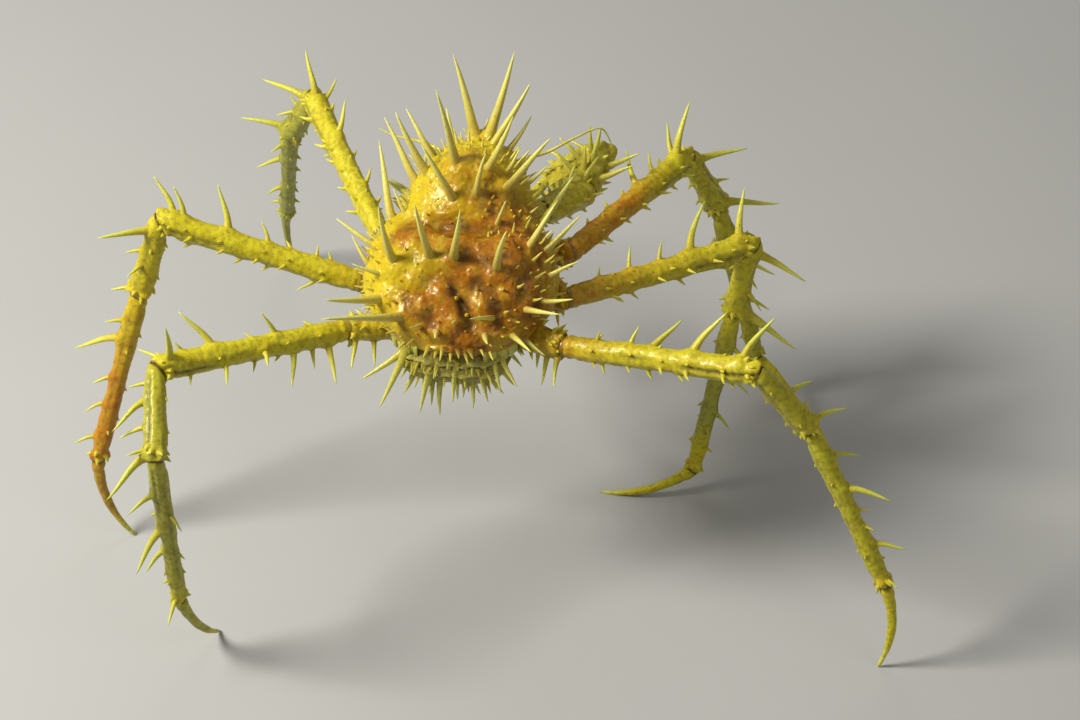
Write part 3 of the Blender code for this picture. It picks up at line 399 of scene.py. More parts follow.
def carapace_top(seats, turn, y):
    """The domed top with its lumps, bosses and granules, and how much painted shade lies in its small dips.
    """
    grid_turn, grid_y = np.meshgrid(turn, y)
    top, normals = carapace_points(grid_turn, grid_y), carapace_normals(grid_turn, grid_y)
    lumps, grains = noise_at(top, LUMP_SIZE, 1), noise_at(top, GRAIN_SIZE, 2)
    edge = np.clip(np.sin(grid_turn) * 8, 0, 1) * np.clip((grid_y - STATION_Y[0]) / 2, 0, 1)
    edge *= np.clip((STATION_Y[-1] - grid_y) / 0.8, 0, 1)
    valley = valley_at(top[..., 0], top[..., 1])
    rough = (LUMP_HEIGHT * lumps + GRAIN_HEIGHT * grains - VALLEY_DEPTH * valley) * edge
    roots = [(place, 0.5 + 0.045 * length, 2.0 + 0.12 * length) for place, normal, way, length in seats]
    roots += [(seat_on_carapace(x, boss_y)[0], height, radius) for x, boss_y, height, radius in BOSSES]
    top = swollen(top, normals, roots) + normals * rough[..., None]
    granules = []
    for i in range(GRANULES):
        row, column = RANDOM.randrange(3, len(y) - 3), RANDOM.randrange(3, len(turn) - 3)
        granules.append((top[row, column], RANDOM.uniform(0.2, 0.6), RANDOM.uniform(0.5, 0.9)))
    top = swollen(top, normals, granules)
    amber = amber_at(top[..., 0], top[..., 1])
    # Painted shade: the dips of the grain, and in amber parts those of the lumps, are darkened
    return top, (np.clip(-grains * 0.35, 0, 1) + np.clip(-lumps * 1.5, 0, 0.7) * amber ** 1.5) * edge


def carapace_parts():
    """The top with a floor below it, rounded ends, thorns on the rear face, and all the spines."""
    seats = carapace_spines()
    y = np.arange(STATION_Y[0], STATION_Y[-1] + 0.01, CARAPACE_STEP)
    top, hollow_shade = carapace_top(seats, np.linspace(0, math.pi, TOP_COLUMNS), y)
    shares = np.linspace(0, 1, UNDER_COLUMNS)[1:-1, None]
    under = []
    for left, right in zip(top[:, 0], top[:, -1]):
        across = right * (1 - shares) + left * shares
        across[:, 2] -= 0.9 * np.sin(np.pi * shares[:, 0]) ** 0.3 - 0.5
        under.append(across)
    rings = np.concatenate([top, np.array(under)], 1)
    x, y = rings[..., 0], rings[..., 1]
    marks = np.zeros(x.shape + (len(MARKS),))
    marks[..., 1] = amber_at(x, y)
    marks[:, TOP_COLUMNS:, 2] = 0.6
    # The dark mark is painted shade: a line along the groove, the slanting hollow behind the middle and the
    # top's small dips
    marks[..., 3] = 0.8 * (SHADE_LINE_DARKNESS * groove_at(x, y, SHADE_LINE_WIDTH, BOW_REACH) + valley_at(x, y))
    marks[:, :TOP_COLUMNS, 3] += hollow_shade
    front = rounded_end(rings[0], -CLOSING_DEPTH, 0.3, CLOSING_RINGS)[::-1]
    rear = rounded_end(rings[-1], CLOSING_DEPTH, 0.3, CLOSING_RINGS)
    wrinkles = noise_at(rear, WRINKLE_SIZE, 3)
    rear[..., 1] += WRINKLE_HEIGHT * wrinkles
    front_marks, rear_marks = (np.repeat(rim, CLOSING_RINGS, 0) for rim in (marks[:1], marks[-1:]))
    # The troughs of the rear face's wrinkles are painted darker as shade
    rear_marks[..., 3] = np.clip(-2 * wrinkles, 0, 0.8)
    rings, marks = np.concatenate([front, rings, rear]), np.concatenate([front_marks, marks, rear_marks])
    parts = [tube_on_body(rings, marks)]
    for x, z, length in REAR_THORNS:
        parts.append(body_spine((x, STATION_Y[-1] + 1.4, z), (x * 0.04, 0.8, -0.4), length, 1.0, 0.7))
    for place, normal, way, length in seats:
        root, radius = Vector(place) - Vector(normal) * 0.2, min(0.5 + 0.05 * length, 2.4)
        stain = 0.35 * min(1.0, length / SHORT_SPINE) + 0.6 * float(amber_at(place[0], place[1]))
        parts.append(body_spine(root, way, length, radius, stain, normal=tuple(normal)))
    return parts


def add_node(tree, kind, **values):
    """A shader node with some of its settings (lower case) and inputs (by name) set."""
    made = tree.nodes.new("ShaderNode" + kind)
    for name, value in values.items():
        if name in made.bl_rna.properties:
            setattr(made, name, value)
        else:
            made.inputs[name].default_value = value
    return made


def blended(tree, amount, first, second):
    """The colour between first and second, by amount."""
    mix = tree.nodes.new("ShaderNodeMix")
    mix.data_type = "RGBA"
    for socket, value in ((mix.inputs[0], amount), (mix.inputs[6], first), (mix.inputs[7], second)):
        if isinstance(value, bpy.types.NodeSocket):
            tree.links.new(value, socket)
        else:
            socket.default_value = value
    return mix.outputs[2]


def worked(tree, operation, *values):
    """A number worked out of sockets and numbers, kept from 0 to 1."""
    math_node = tree.nodes.new("ShaderNodeMath")
    math_node.operation, math_node.use_clamp = operation, True
    for socket, value in zip(math_node.inputs, values):
        if isinstance(value, bpy.types.NodeSocket):
            tree.links.new(value, socket)
        else:
            socket.default_value = value
    return math_node.outputs[0]


def texture(tree, kind, output, **values):
    """The output of a texture in the piece's own coordinates."""
    made = add_node(tree, kind, **values)
    tree.links.new(add_node(tree, "TexCoord").outputs["Object"], made.inputs["Vector"])
    return made.outputs[output]


def new_material(name):
    """A material, its node tree and its main shader."""
    made = bpy.data.materials.new(name)
    made.use_nodes = True
    return made, made.node_tree, made.node_tree.nodes["Principled BSDF"]


def raise_surface(tree, shader, height, strength, distance):
    """Bumps in the shader's surface, from a height."""
    raised = add_node(tree, "Bump", Strength=strength, Distance=distance)
    tree.links.new(height, raised.inputs["Height"])
    tree.links.new(raised.outputs["Normal"], shader.inputs["Normal"])


COLOURS = ("Yellow", "Amber", "Grey", "Pale", "Dark")
AMOUNTS = ("Mottle", "Specks", "Grain Size", "Least Roughness")


def make_shell_effect():
    """Colour, roughness and height of varnished crab shell, from the marks on its points and from noise."""
    group = bpy.data.node_groups.new("varnished_shell", "ShaderNodeTree")
    for name in COLOURS:
        group.interface.new_socket(name, in_out="INPUT", socket_type="NodeSocketColor")
    for name in AMOUNTS:
        group.interface.new_socket(name, in_out="INPUT", socket_type="NodeSocketFloat")
    for name, kind in (("Colour", "Color"), ("Roughness", "Float"), ("Height", "Float")):
        group.interface.new_socket(name, in_out="OUTPUT", socket_type="NodeSocket" + kind)
    given = group.nodes.new("NodeGroupInput").outputs
    out = group.nodes.new("NodeGroupOutput").inputs
    mark = {name: add_node(group, "Attribute", attribute_name=name).outputs["Fac"] for name in MARKS}
    clouds = texture(group, "TexNoise", "Fac", Scale=140.0, Detail=4.0, Roughness=0.6)
    streaks = texture(group, "TexNoise", "Fac", Scale=420.0, Detail=3.0, Roughness=0.7)
    specks = texture(group, "TexNoise", "Fac", Scale=1100.0, Detail=2.0, Roughness=0.5)
    cells = texture(group, "TexVoronoi", "Distance", Scale=520.0)
    pits = texture(group, "TexVoronoi", "Distance", Scale=1500.0)

    def worked_by(operation):
        return lambda first, second: worked(group, operation, first, second)

    times, plus, minus = (worked_by(operation) for operation in ("MULTIPLY", "ADD", "SUBTRACT"))
    cloudy = times(times(minus(clouds, 0.42), 2.4), given["Mottle"])
    amber = plus(times(mark["amber"], 0.8), times(cloudy, plus(mark["amber"], 0.3)))
    colour = blended(group, amber, given["Yellow"], given["Amber"])
    colour = blended(group, times(mark["grey"], 0.85), colour, given["Grey"])
    tip = worked(group, "POWER", mark["tip"], 0.7)
    colour = blended(group, times(tip, 0.85), colour, given["Pale"])
    colour = blended(group, times(minus(streaks, 0.5), 1.2), colour, given["Grey"])
    dots = times(times(minus(specks, 0.62), 9.0), given["Specks"])
    colour = blended(group, plus(times(mark["dark"], 0.9), dots), colour, given["Dark"])
    group.links.new(colour, out["Colour"])

    gloss = plus(times(streaks, 0.3), given["Least Roughness"])
    group.links.new(plus(gloss, times(mark["dark"], 0.3)), out["Roughness"])
    bumps = times(minus(0.7, cells), given["Grain Size"])
    fine = times(minus(0.6, pits), 0.3)
    height = plus(plus(times(bumps, 0.55), fine), times(streaks, 0.35))
    group.links.new(height, out["Height"])
    return group


shell_effect = make_shell_effect()


def shell_material(name, yellow, amber, grey, pale, dark, mottle, specks, bump, rough, grain=1.0, coat=0.3):
    """Varnished shell in this piece's own colours: the shared effect under a clear coat."""
    made, tree, shader = new_material(name)
    effect = tree.nodes.new("ShaderNodeGroup")
    effect.node_tree = shell_effect
    for socket, colour in zip(COLOURS, (yellow, amber, grey, pale, dark)):
        effect.inputs[socket].default_value = (*colour, 1)
    for socket, value in zip(AMOUNTS, (mottle, specks, grain, rough)):
        effect.inputs[socket].default_value = value
    tree.links.new(effect.outputs["Colour"], shader.inputs["Base Color"])
    tree.links.new(effect.outputs["Roughness"], shader.inputs["Roughness"])
    raise_surface(tree, shader, effect.outputs["Height"], bump, 0.0006)
    shader.inputs["Specular Tint"].default_value = (1.0, 0.86, 0.45, 1)
    shader.inputs["Coat Weight"].default_value = coat
    shader.inputs["Coat Roughness"].default_value = 0.1
    return made


carapace_finish = shell_material(
    "carapace_varnish", yellow=(0.62, 0.48, 0.010), amber=(0.33, 0.112, 0.002), grey=(0.33, 0.31, 0.07),
    pale=(0.80, 0.80, 0.24), dark=(0.04, 0.012, 0.001), mottle=0.9, specks=0.45, bump=0.3, rough=0.24,
    coat=0.16)
crab_piece("carapace_shell", carapace_parts(), carapace_finish, "carapace_shell", "carapace")

# The rostrum: a blunt beak of the same plate that grows out of the carapace's front edge and carries two long
# horns, a short forward one between them and some thorns.
ROSTRUM_FRONT, ROSTRUM_LENGTH = -63.3, 8.0
ROSTRUM_RINGS, ROSTRUM_SIDES = 40, 60
# Root, way and length of each horn
ROSTRAL_SPINES = (
    ((4.0, -3.4, 7.2), (0.27, -0.55, 0.79), 42.5), ((-3.2, -3.4, 7.2), (-0.25, -0.55, 0.79), 46.0),
    ((0.0, -7.0, 5.4), (0.0, -1.0, -0.3), 12.0),
)
# Share of its length, half width, middle height and half height
ROSTRUM_SECTIONS = (
    (-1.5, 9.5, 7.0, 6.0), (-0.9, 10.0, 6.6, 6.2), (-0.4, 8.6, 6.2, 5.2), (0.0, 6.8, 5.8, 4.2),
    (0.5, 4.8, 5.6, 3.4), (0.85, 3.4, 5.5, 2.7), (1.0, 1.4, 5.4, 1.2),
)
# x, y, z and length of each thorn
ROSTRAL_THORNS = (
    (5.0, -1.5, 7.5, 7.0), (-4.8, -2.0, 7.2, 6.0), (5.4, -1.0, 4.5, 5.0), (-5.4, -1.2, 4.6, 6.0),
    (0.5, 3.0, 10.4, 4.0), (-6.5, 4.0, 9.5, 5.0), (6.8, 3.5, 9.2, 6.0), (3.4, 5.5, 10.6, 3.0),
    (-3.2, 1.5, 10.0, 3.5), (8.4, 6.0, 7.6, 4.5), (-8.6, 6.0, 7.4, 4.0),
)


def rostrum_parts():
    """The beak with its three horns and its thorns."""
    sections = np.array(ROSTRUM_SECTIONS)
    turns = np.linspace(0, 2 * math.pi, ROSTRUM_SIDES, endpoint=False)
    rings = []
    for share in np.linspace(sections[0, 0], sections[-1, 0], ROSTRUM_RINGS):
        wide, middle, high = (float(curve(sections[:, 0], sections[:, k], share)) for k in (1, 2, 3))
        y = np.full(ROSTRUM_SIDES, ROSTRUM_FRONT - ROSTRUM_LENGTH * share)
        rings.append(np.stack([wide * np.cos(turns), y, middle + high * np.sin(turns)], -1))
    rings = roughened(np.array(rings), 3.0, 4, 0.5)
    parts = [tube_on_body(rings, [(0, 0.25, 0, 0)] * (ROSTRUM_RINGS * ROSTRUM_SIDES))]
    for (x, y, z), way, length in ROSTRAL_SPINES:
        radius = min(0.5 + 0.052 * length, 2.7)
        parts.append(body_spine((x, ROSTRUM_FRONT + y, z), way, length, radius, 0.35))
    for x, y, z, length in ROSTRAL_THORNS:
        parts.append(body_spine((x, ROSTRUM_FRONT + y, z), (x * 0.12, -0.3, 0.6), length, 1.0))
    return parts


crab_piece("rostrum_shell", rostrum_parts(), carapace_finish, "carapace_shell", "rostrum")

# The underside: a block of fused plates, the sternum, which carries the legs and closes the body below. A
# furrow runs between each two pairs of legs, and its creased front with thorns and granules is the face.
THORAX_Y = (-50.0, -42.0, 38.0, 43.0)
THORAX_HALF_WIDTH = (20.0, 24.0, 24.0, 20.0)
THORAX_BOTTOM = -26.0
THORAX_FURROWS = (-34.0, -16.0, 5.0, 26.0)
THORAX_RINGS, THORAX_TURNS = 110, 33
FACE_RINGS, FACE_BULGE, FACE_CREASE = 22, 2.6, 0.8
FACE_THORNS, FACE_GRANULES = 26, 70
# The granules' field: its middle height, half sizes and bulge, and the radians from one granule to the next
FACE_MIDDLE_Z = -13.5
FIELD_X, FIELD_Z, FIELD_BULGE = 19.0, 10.5, 2.4
GOLDEN_TURN = 2.4


def thorax_parts():
    """The block with its furrows, the face that bulges from its front, and the face's thorns and granules."""
    rings, marks = [], []
    turns = np.linspace(0, math.pi, THORAX_TURNS)
    for y in np.linspace(THORAX_Y[0], THORAX_Y[-1], THORAX_RINGS):
        top = float(curve(STATION_Y, MARGIN_Z, y)) - 0.2
        furrow = sum(hump(y - at, 1.6) for at in THORAX_FURROWS)
        half = float(np.interp(y, THORAX_Y, THORAX_HALF_WIDTH)) - 1.6 * furrow
        x = half * np.sign(np.cos(turns)) * np.abs(np.cos(turns)) ** 0.35
        z = top - (top - THORAX_BOTTOM - 1.4 * furrow) * np.sin(turns) ** 0.45
        x, z = np.append(x, (-half * 0.5, half * 0.5)), np.append(z, (top, top))
        rings.append(np.stack([x, np.full(len(x), y), z], -1))
        # The furrows are painted darker as shade
        marks += [(0, 0.25, 0.45, 0.6 * furrow)] * len(x)
    face = rounded_end(rings[0], -FACE_BULGE, 0.25, FACE_RINGS)[::-1]
    creases = noise_at(face, 3.5, 7)
    face[..., 1] -= FACE_CREASE * creases
    # The face is more amber on the crests of its creases, and their troughs are painted darker as shade
    marks = [(0, 0.35 + 0.3 * crease, 0.35, min(0.6, max(0.1, -1.2 * crease)))
             for crease in creases.ravel()] + marks
    parts = [tube_on_body(roughened(np.concatenate([face, rings]), 5.0, 6, 0.4), marks)]
    for i in range(FACE_THORNS):
        x, z = RANDOM.uniform(-17, 17), RANDOM.uniform(-23, -4)
        way = (x * 0.03, -1.0, RANDOM.uniform(-0.3, 0.4))
        parts.append(body_spine((x, THORAX_Y[0] - 1.6, z), way, RANDOM.uniform(1.5, 4.5), 0.8, 0.4))
    for i in range(FACE_GRANULES):
        share, turn = math.sqrt((i + 0.5) / FACE_GRANULES), GOLDEN_TURN * i
        x, z = FIELD_X * share * math.cos(turn), FIELD_Z * share * math.sin(turn)
        root = (x, THORAX_Y[0] - FIELD_BULGE * math.sqrt(1 - share ** 2) + 0.3, FACE_MIDDLE_Z + z)
        parts.append(body_spine(root, (x * 0.04, -1.0, z * 0.06), 1.3 + 0.25 * (i % 5), 0.75, 0.5))
    return parts


underside_finish = shell_material(
    "underside_varnish", yellow=(0.50, 0.43, 0.02), amber=(0.30, 0.15, 0.01), grey=(0.24, 0.24, 0.07),
    pale=(0.66, 0.66, 0.14), dark=(0.05, 0.028, 0.006), mottle=0.8, specks=0.7, bump=0.4, rough=0.3)
crab_piece("thorax_shell", thorax_parts(), underside_finish, "body_shell", "thorax")

# The abdomen: its first plates hang down behind the carapace, the rest is a flap folded forward under the
# thorax. Rows of spines hang from the edge of each plate, and pale skin shows at its sides.
ABDOMEN_FRONT = 43.3
ABDOMEN_OUTLINE = ((43.3, -7.6), (50.5, -7.6), (55.5, -11.0), (58.0, -18.0), (57.0, -25.7), (43.3, -25.7))
ABDOMEN_HALF_WIDTH, ABDOMEN_MIDDLE_Z = 25.0, -16.6
ABDOMEN_RINGS, ABDOMEN_SIDES, ABDOMEN_THORNS = 90, 60, 36
# Heights of the plates' lips and of the grooves below them, on the face behind REAR_FACE_Y
LIP_Z, SHELF_Z, REAR_FACE_Y = (-11.6, -17.6), (-13.0, -19.0), 46
# Root, way and length of each spine: first the long ones, which the photo shows, then thorns between them
ABDOMEN_SPINES = (
    ((23, 51.5, -11), (0.38, 0.69, -0.62), 31), ((24, 49, -14), (0.8, 0.53, -0.3), 26),
    ((19, 55.5, -23), (0.43, 0.4, -0.8), 14), ((10.5, 57, -16), (0.2, 0.49, -0.85), 25),
    ((7, 55.5, -12), (0.13, 0.7, -0.7), 9), ((10, 56.5, -24), (0.02, 0.58, -0.82), 15),
    ((6, 57, -23), (0.0, 0.48, -0.88), 21), ((-2.5, 56, -12.5), (0.05, 0.5, -0.85), 20.5),
    ((-10.5, 57, -24), (-0.04, 0.55, -0.83), 14.5), ((-15, 56, -18), (-0.22, 0.42, -0.88), 16.5),
    ((-21.5, 52.5, -12.5), (-0.28, 0.73, -0.63), 15), ((-24, 49.5, -10.5), (-0.56, 0.69, -0.46), 17.5),
    ((16, 55, -12), (0.3, 0.8, -0.5), 6), ((13, 57, -21), (0.2, 0.6, -0.8), 8),
    ((3, 57.5, -18), (0, 0.7, -0.7), 7), ((0.5, 55, -10), (0.1, 0.9, -0.4), 5),
    ((-7, 57, -17), (-0.1, 0.6, -0.8), 9), ((-11, 55, -12), (-0.1, 0.8, -0.5), 6),
    ((-17, 54, -12), (-0.2, 0.8, -0.5), 5), ((-6, 57, -23), (0, 0.5, -0.8), 10),
    ((-19, 54, -21), (-0.4, 0.5, -0.8), 9), ((21, 53, -18), (0.5, 0.5, -0.7), 10),
    ((-1, 57.5, -22), (0, 0.4, -0.9), 12), ((15, 56, -18), (0.3, 0.5, -0.8), 11),
)
# The skin's path down its left side, how many steps each stretch has, and its sides
SKIN_STEPS, SKIN_SIDES = 40, 20
SKIN_FOLDS = ((16, 51, -9.5), (21, 49, -10.5), (26.5, 46, -11), (31, 41.5, -11))
FLAP_Y = (54.0, 50.0, 40.0, 22.0, 0.0, -16.0, -26.0)
FLAP_HALF_WIDTH = (17.0, 22.0, 26.0, 26.0, 22.0, 14.0, 6.0)
FLAP_THICKNESS = (3.0, 6.0, 8.0, 8.0, 7.0, 5.0, 3.0)
FLAP_BACK = [-y for y in FLAP_Y]
FLAP_TOP = -26.3
FLAP_RINGS, FLAP_SIDES, PLATE_LENGTH = 150, 60, 11
# The flap's spines: the first row's y, the step between rows, then number and length in each row
FIRST_ROW_Y, ROW_STEP = 49.5, 8.2
FLAP_ROWS = ((5, 14.0), (5, 14.0), (7, 12.0), (5, 15.0), (7, 9.0), (5, 10.0), (5, 8.0), (3, 10.0), (3, 8.0))


def curved_path(points, steps):
    """Points on a smooth curve through the given ones, steps to each stretch."""
    points = [Vector(p) for p in points]
    ends = [points[0] * 2 - points[1]] + points + [points[-1] * 2 - points[-2]]
    made = []
    for p0, p1, p2, p3 in zip(ends, ends[1:], ends[2:], ends[3:]):
        for i in range(steps):
            t = i / steps
            made.append(0.5 * (2 * p1 + (p2 - p0) * t + (2 * p0 - 5 * p1 + 4 * p2 - p3) * t * t
                               + (3 * p1 - p0 - 3 * p2 + p3) * t ** 3))
    return made + [points[-1]]


def abdomen_base_parts():
    """The hanging plates with their lips, thorns and rows of spines, and the skin at both sides."""
    rings, marks = [], []
    outline = np.array(ABDOMEN_OUTLINE)
    along = np.concatenate([[0], np.cumsum(np.linalg.norm(np.diff(outline, axis=0), axis=1))])
    stops = np.linspace(0, along[-1], ABDOMEN_SIDES)
    y, z = (np.interp(stops, along, outline[:, k]) for k in (0, 1))
    for share in np.linspace(-1, 1, ABDOMEN_RINGS):
        scale = 0.62 + 0.38 * (1 - abs(share) ** 3)
        ring = np.stack([np.full(ABDOMEN_SIDES, share * ABDOMEN_HALF_WIDTH),
                         ABDOMEN_FRONT + (y - ABDOMEN_FRONT) * scale,
                         ABDOMEN_MIDDLE_Z + (z - ABDOMEN_MIDDLE_Z) * scale], -1)
        shelf = sum(hump(ring[:, 2] - at, 0.7) for at in SHELF_Z)
        lip = sum(hump(ring[:, 2] - at, 0.9) for at in LIP_Z)
        lumpy = 1 + 0.7 * math.sin(share * 17) + 0.6 * math.sin(share * 29 + 2)
        ring[:, 1] += np.where(ring[:, 1] > REAR_FACE_Y, (0.8 * lip - 1.0 * shelf) * lumpy, 0)
        ring[:, 2] += np.where(ring[:, 1] > REAR_FACE_Y, 0.5 * math.sin(share * 13 + 1), 0)
        rings.append(ring)
        skin = np.clip((abs(share) - 0.7) * 4, 0, 1)
        # The grooves under the lips are painted darker as shade
        marks += [(0.35 * pale, 0.5 * (1 - skin), 0.6, 0.7 * dark + 0.15) for dark, pale in zip(shelf, lip)]
    parts = [tube_on_body(roughened(np.array(rings), 2.5, 8, 0.45), marks)]
    for i in range(ABDOMEN_THORNS):
        x, z = RANDOM.uniform(-21, 21), RANDOM.uniform(-25, -11)
        root = (x, np.interp(-z, (11, 18, 25), (54.6, 57.2, 56.2)) - 0.004 * x * x, z)
        way = (x * 0.02, 0.7, RANDOM.uniform(-1.0, -0.4))
        parts.append(body_spine(root, way, RANDOM.uniform(2, 6), 0.9, 0.5))
    for (x, y, z), way, length in ABDOMEN_SPINES:
        root, normal = (x * 0.96, y - 1.2, z), (way[0] * 0.5, 1, 0)
        parts.append(body_spine(root, way, length, 0.7 + 0.05 * length, 0.3, 0.1, normal))
    return parts + [skin_part(side) for side in SIGN]


def skin_part(side):
    """Pale wrinkled skin that closes the gap between the carapace's edge, the abdomen and the last leg."""
    rings, marks = [], []
    for i, middle in enumerate(curved_path([mirrored(p, side) for p in SKIN_FOLDS], SKIN_STEPS)):
        fold = 0.7 * math.sin(i * 0.21) + 0.2 * math.sin(i * 0.57 + 1)
        ring = [middle + Vector((0, (1.5 + fold) * math.cos(turn), (4.6 + 0.5 * fold) * math.sin(turn)))
                for turn in round_turns(SKIN_SIDES)]
        rings.append([tuple(on_body(p)) for p in ring])
        # The troughs of the folds are painted darker as shade
        marks += [(0.55, 0.0, 0.3, max(0.0, -0.35 * fold))] * SKIN_SIDES
    return tube_part(rings, marks)


def abdomen_flap_parts():
    """The folded flap with the seams between its plates, and its rows of spines."""
    rings, marks = [], []
    turns = np.linspace(0.0, math.pi, FLAP_SIDES)
    for y in np.linspace(FLAP_Y[0], FLAP_Y[-1], FLAP_RINGS):
        half, thick = (float(curve(FLAP_BACK, sizes, -y)) for sizes in (FLAP_HALF_WIDTH, FLAP_THICKNESS))
        seam = hump((y + 4) % PLATE_LENGTH - PLATE_LENGTH / 2, 0.8)
        z = FLAP_TOP - 0.2 - (thick - 0.9 * seam) * np.sin(turns) ** 0.7
        rings.append(np.stack([half * np.cos(turns), np.full(FLAP_SIDES, y), z], -1))
        marks += [(0, 0.15, 0.4, 0.7 * seam)] * FLAP_SIDES
    rings = np.array(rings)
    rings[:, 1:-1] = roughened(rings[:, 1:-1], 4.0, 9, 0.4)
    parts = [tube_on_body(rings, marks)]
    for row, (count, length) in enumerate(FLAP_ROWS):
        y = FIRST_ROW_Y - row * ROW_STEP
        half, thick = (float(np.interp(-y, FLAP_BACK, sizes)) for sizes in (FLAP_HALF_WIDTH, FLAP_THICKNESS))
        for i in range(count):
            share = (i - (count - 1) / 2) / (count / 2)
            x = share * half + RANDOM.uniform(-1, 1)
            z = FLAP_TOP - thick * (1 - min(0.9, abs(x) / half) ** 2.5) ** 0.6
            root, normal, way = (x, y, z + 0.8), (share * 0.5, 0, -1), (share * 0.8, 0.25, -1.0)
            size = length * RANDOM.uniform(0.8, 1.15)
            parts.append(body_spine(root, way, size, 0.7 + 0.05 * size, 0.15, 0.15, normal))
    return parts


crab_piece("abdomen_plates", abdomen_base_parts(), underside_finish, "body_shell", "abdomen_base")
crab_piece("abdomen_flap_plates", abdomen_flap_parts(), underside_finish, "body_shell", "abdomen_flap")

# The head's small parts: dark eyes on short stalks, two pairs of feelers, and the last pair of mouth legs,
# all jointed to the thorax's front below the rostrum.
# Start, end and radius of the straight ones on the left, then points along the bent ones
EYE_STALK = ((6.5, -49.5, -8.6), (9.5, -65.0, -9.5), 2.6)
EYE_RADIUS, BALL_SIDES = 3.5, 28
ANTENNA_BASE = ((15.5, -49.5, -12.5), (21.0, -66.0, -9.0), 3.2)
FLAGELLA = {
    "left": ((21.2, -66.9, -8.8), (31, -72, -10), (42, -77, -14), (50, -80.5, -17), (57, -84, -17)),
    "right": ((-21.2, -66.9, -8.8), (-31, -70, -7), (-44, -76, -2), (-56, -82, -1), (-62, -79, -12)),
}
ANTENNULE = ((4.0, -49.5, -14.0), (4.2, -63.0, -17.5), (5.0, -72.0, -16.0))
BRISTLES = 14
MAXILLIPED = ((8.0, -49.5, -20.5), (9.5, -61.0, -26.0), (8.0, -67.0, -37.0), (5.5, -63.0, -50.0))


def straight_path(start, end, side, count):
    return [mirrored(start, side).lerp(mirrored(end, side), share) for share in np.linspace(0, 1, count)]


def feeler_part(path, radii, joints, sides):
    """A round limb along a path in the body frame, with shallow ring seams where it is jointed."""
    path = [on_body(p) for p in path]
    rings, marks = [], []
    across = (path[1] - path[0]).orthogonal().normalized()
    last = (path[1] - path[0]).normalized()
    for i, middle in enumerate(path):
        axis = (path[min(len(path) - 1, i + 1)] - path[max(0, i - 1)]).normalized()
        across = last.rotation_difference(axis) @ across
        beside, last = axis.cross(across), axis
        share = i / (len(path) - 1)
        seam = abs(math.sin(math.pi * joints * share)) < 0.25 and 0 < share < 1 and joints > 0
        wide = float(np.interp(share, np.linspace(0, 1, len(radii)), radii)) * (0.86 if seam else 1.0)
        rings.append([middle + swung(across, beside, turn) * wide for turn in round_turns(sides)])
        marks += [(0.3 * share, 0.1, 0.1, 0.6 if seam else 0.0)] * sides
    return tube_part(rings, marks)


def ball_rings(middle, axis, radius, latitudes, squash=1.0, folds=0.0):
    """Rings round a ball's axis, with the ball squashed along it and folded across it."""
    across = axis.orthogonal().normalized()
    beside = axis.cross(across)
    rings = []
    for latitude in latitudes:
        up, out = math.sin(math.radians(latitude)), math.cos(math.radians(latitude))
        fold = 1 + folds * math.cos(latitude * 0.5)
        rings.append([middle + (axis * up * squash + swung(across, beside, turn) * out * fold) * radius
                      for turn in round_turns(BALL_SIDES)])
    return rings


def eye_parts(side):
    """The cornea: a ball on the end of its stalk, cut flat towards the stalk."""
    start, end = (mirrored(p, side) for p in EYE_STALK[:2])
    middle = on_body(end + (end - start).normalized() * (EYE_RADIUS * 0.92 + 0.3))
    rings = ball_rings(middle, along_body(end - start), EYE_RADIUS, np.linspace(-62, 88, 20))
    return [tube_part(rings, np.zeros((20 * BALL_SIDES, len(MARKS))))]


def eye_material():
    """A black-brown cornea with very fine facets under a wet gloss."""
    made, tree, shader = new_material("eye_cornea")
    cloud = texture(tree, "TexNoise", "Fac", Scale=300.0)
    colour = blended(tree, cloud, (0.012, 0.008, 0.006, 1), (0.06, 0.035, 0.02, 1))
    tree.links.new(colour, shader.inputs["Base Color"])
    raise_surface(tree, shader, texture(tree, "TexVoronoi", "Distance", Scale=2600.0), 0.2, 0.0001)
    shader.inputs["Roughness"].default_value = 0.08
    shader.inputs["Coat Weight"].default_value = 0.8
    return made


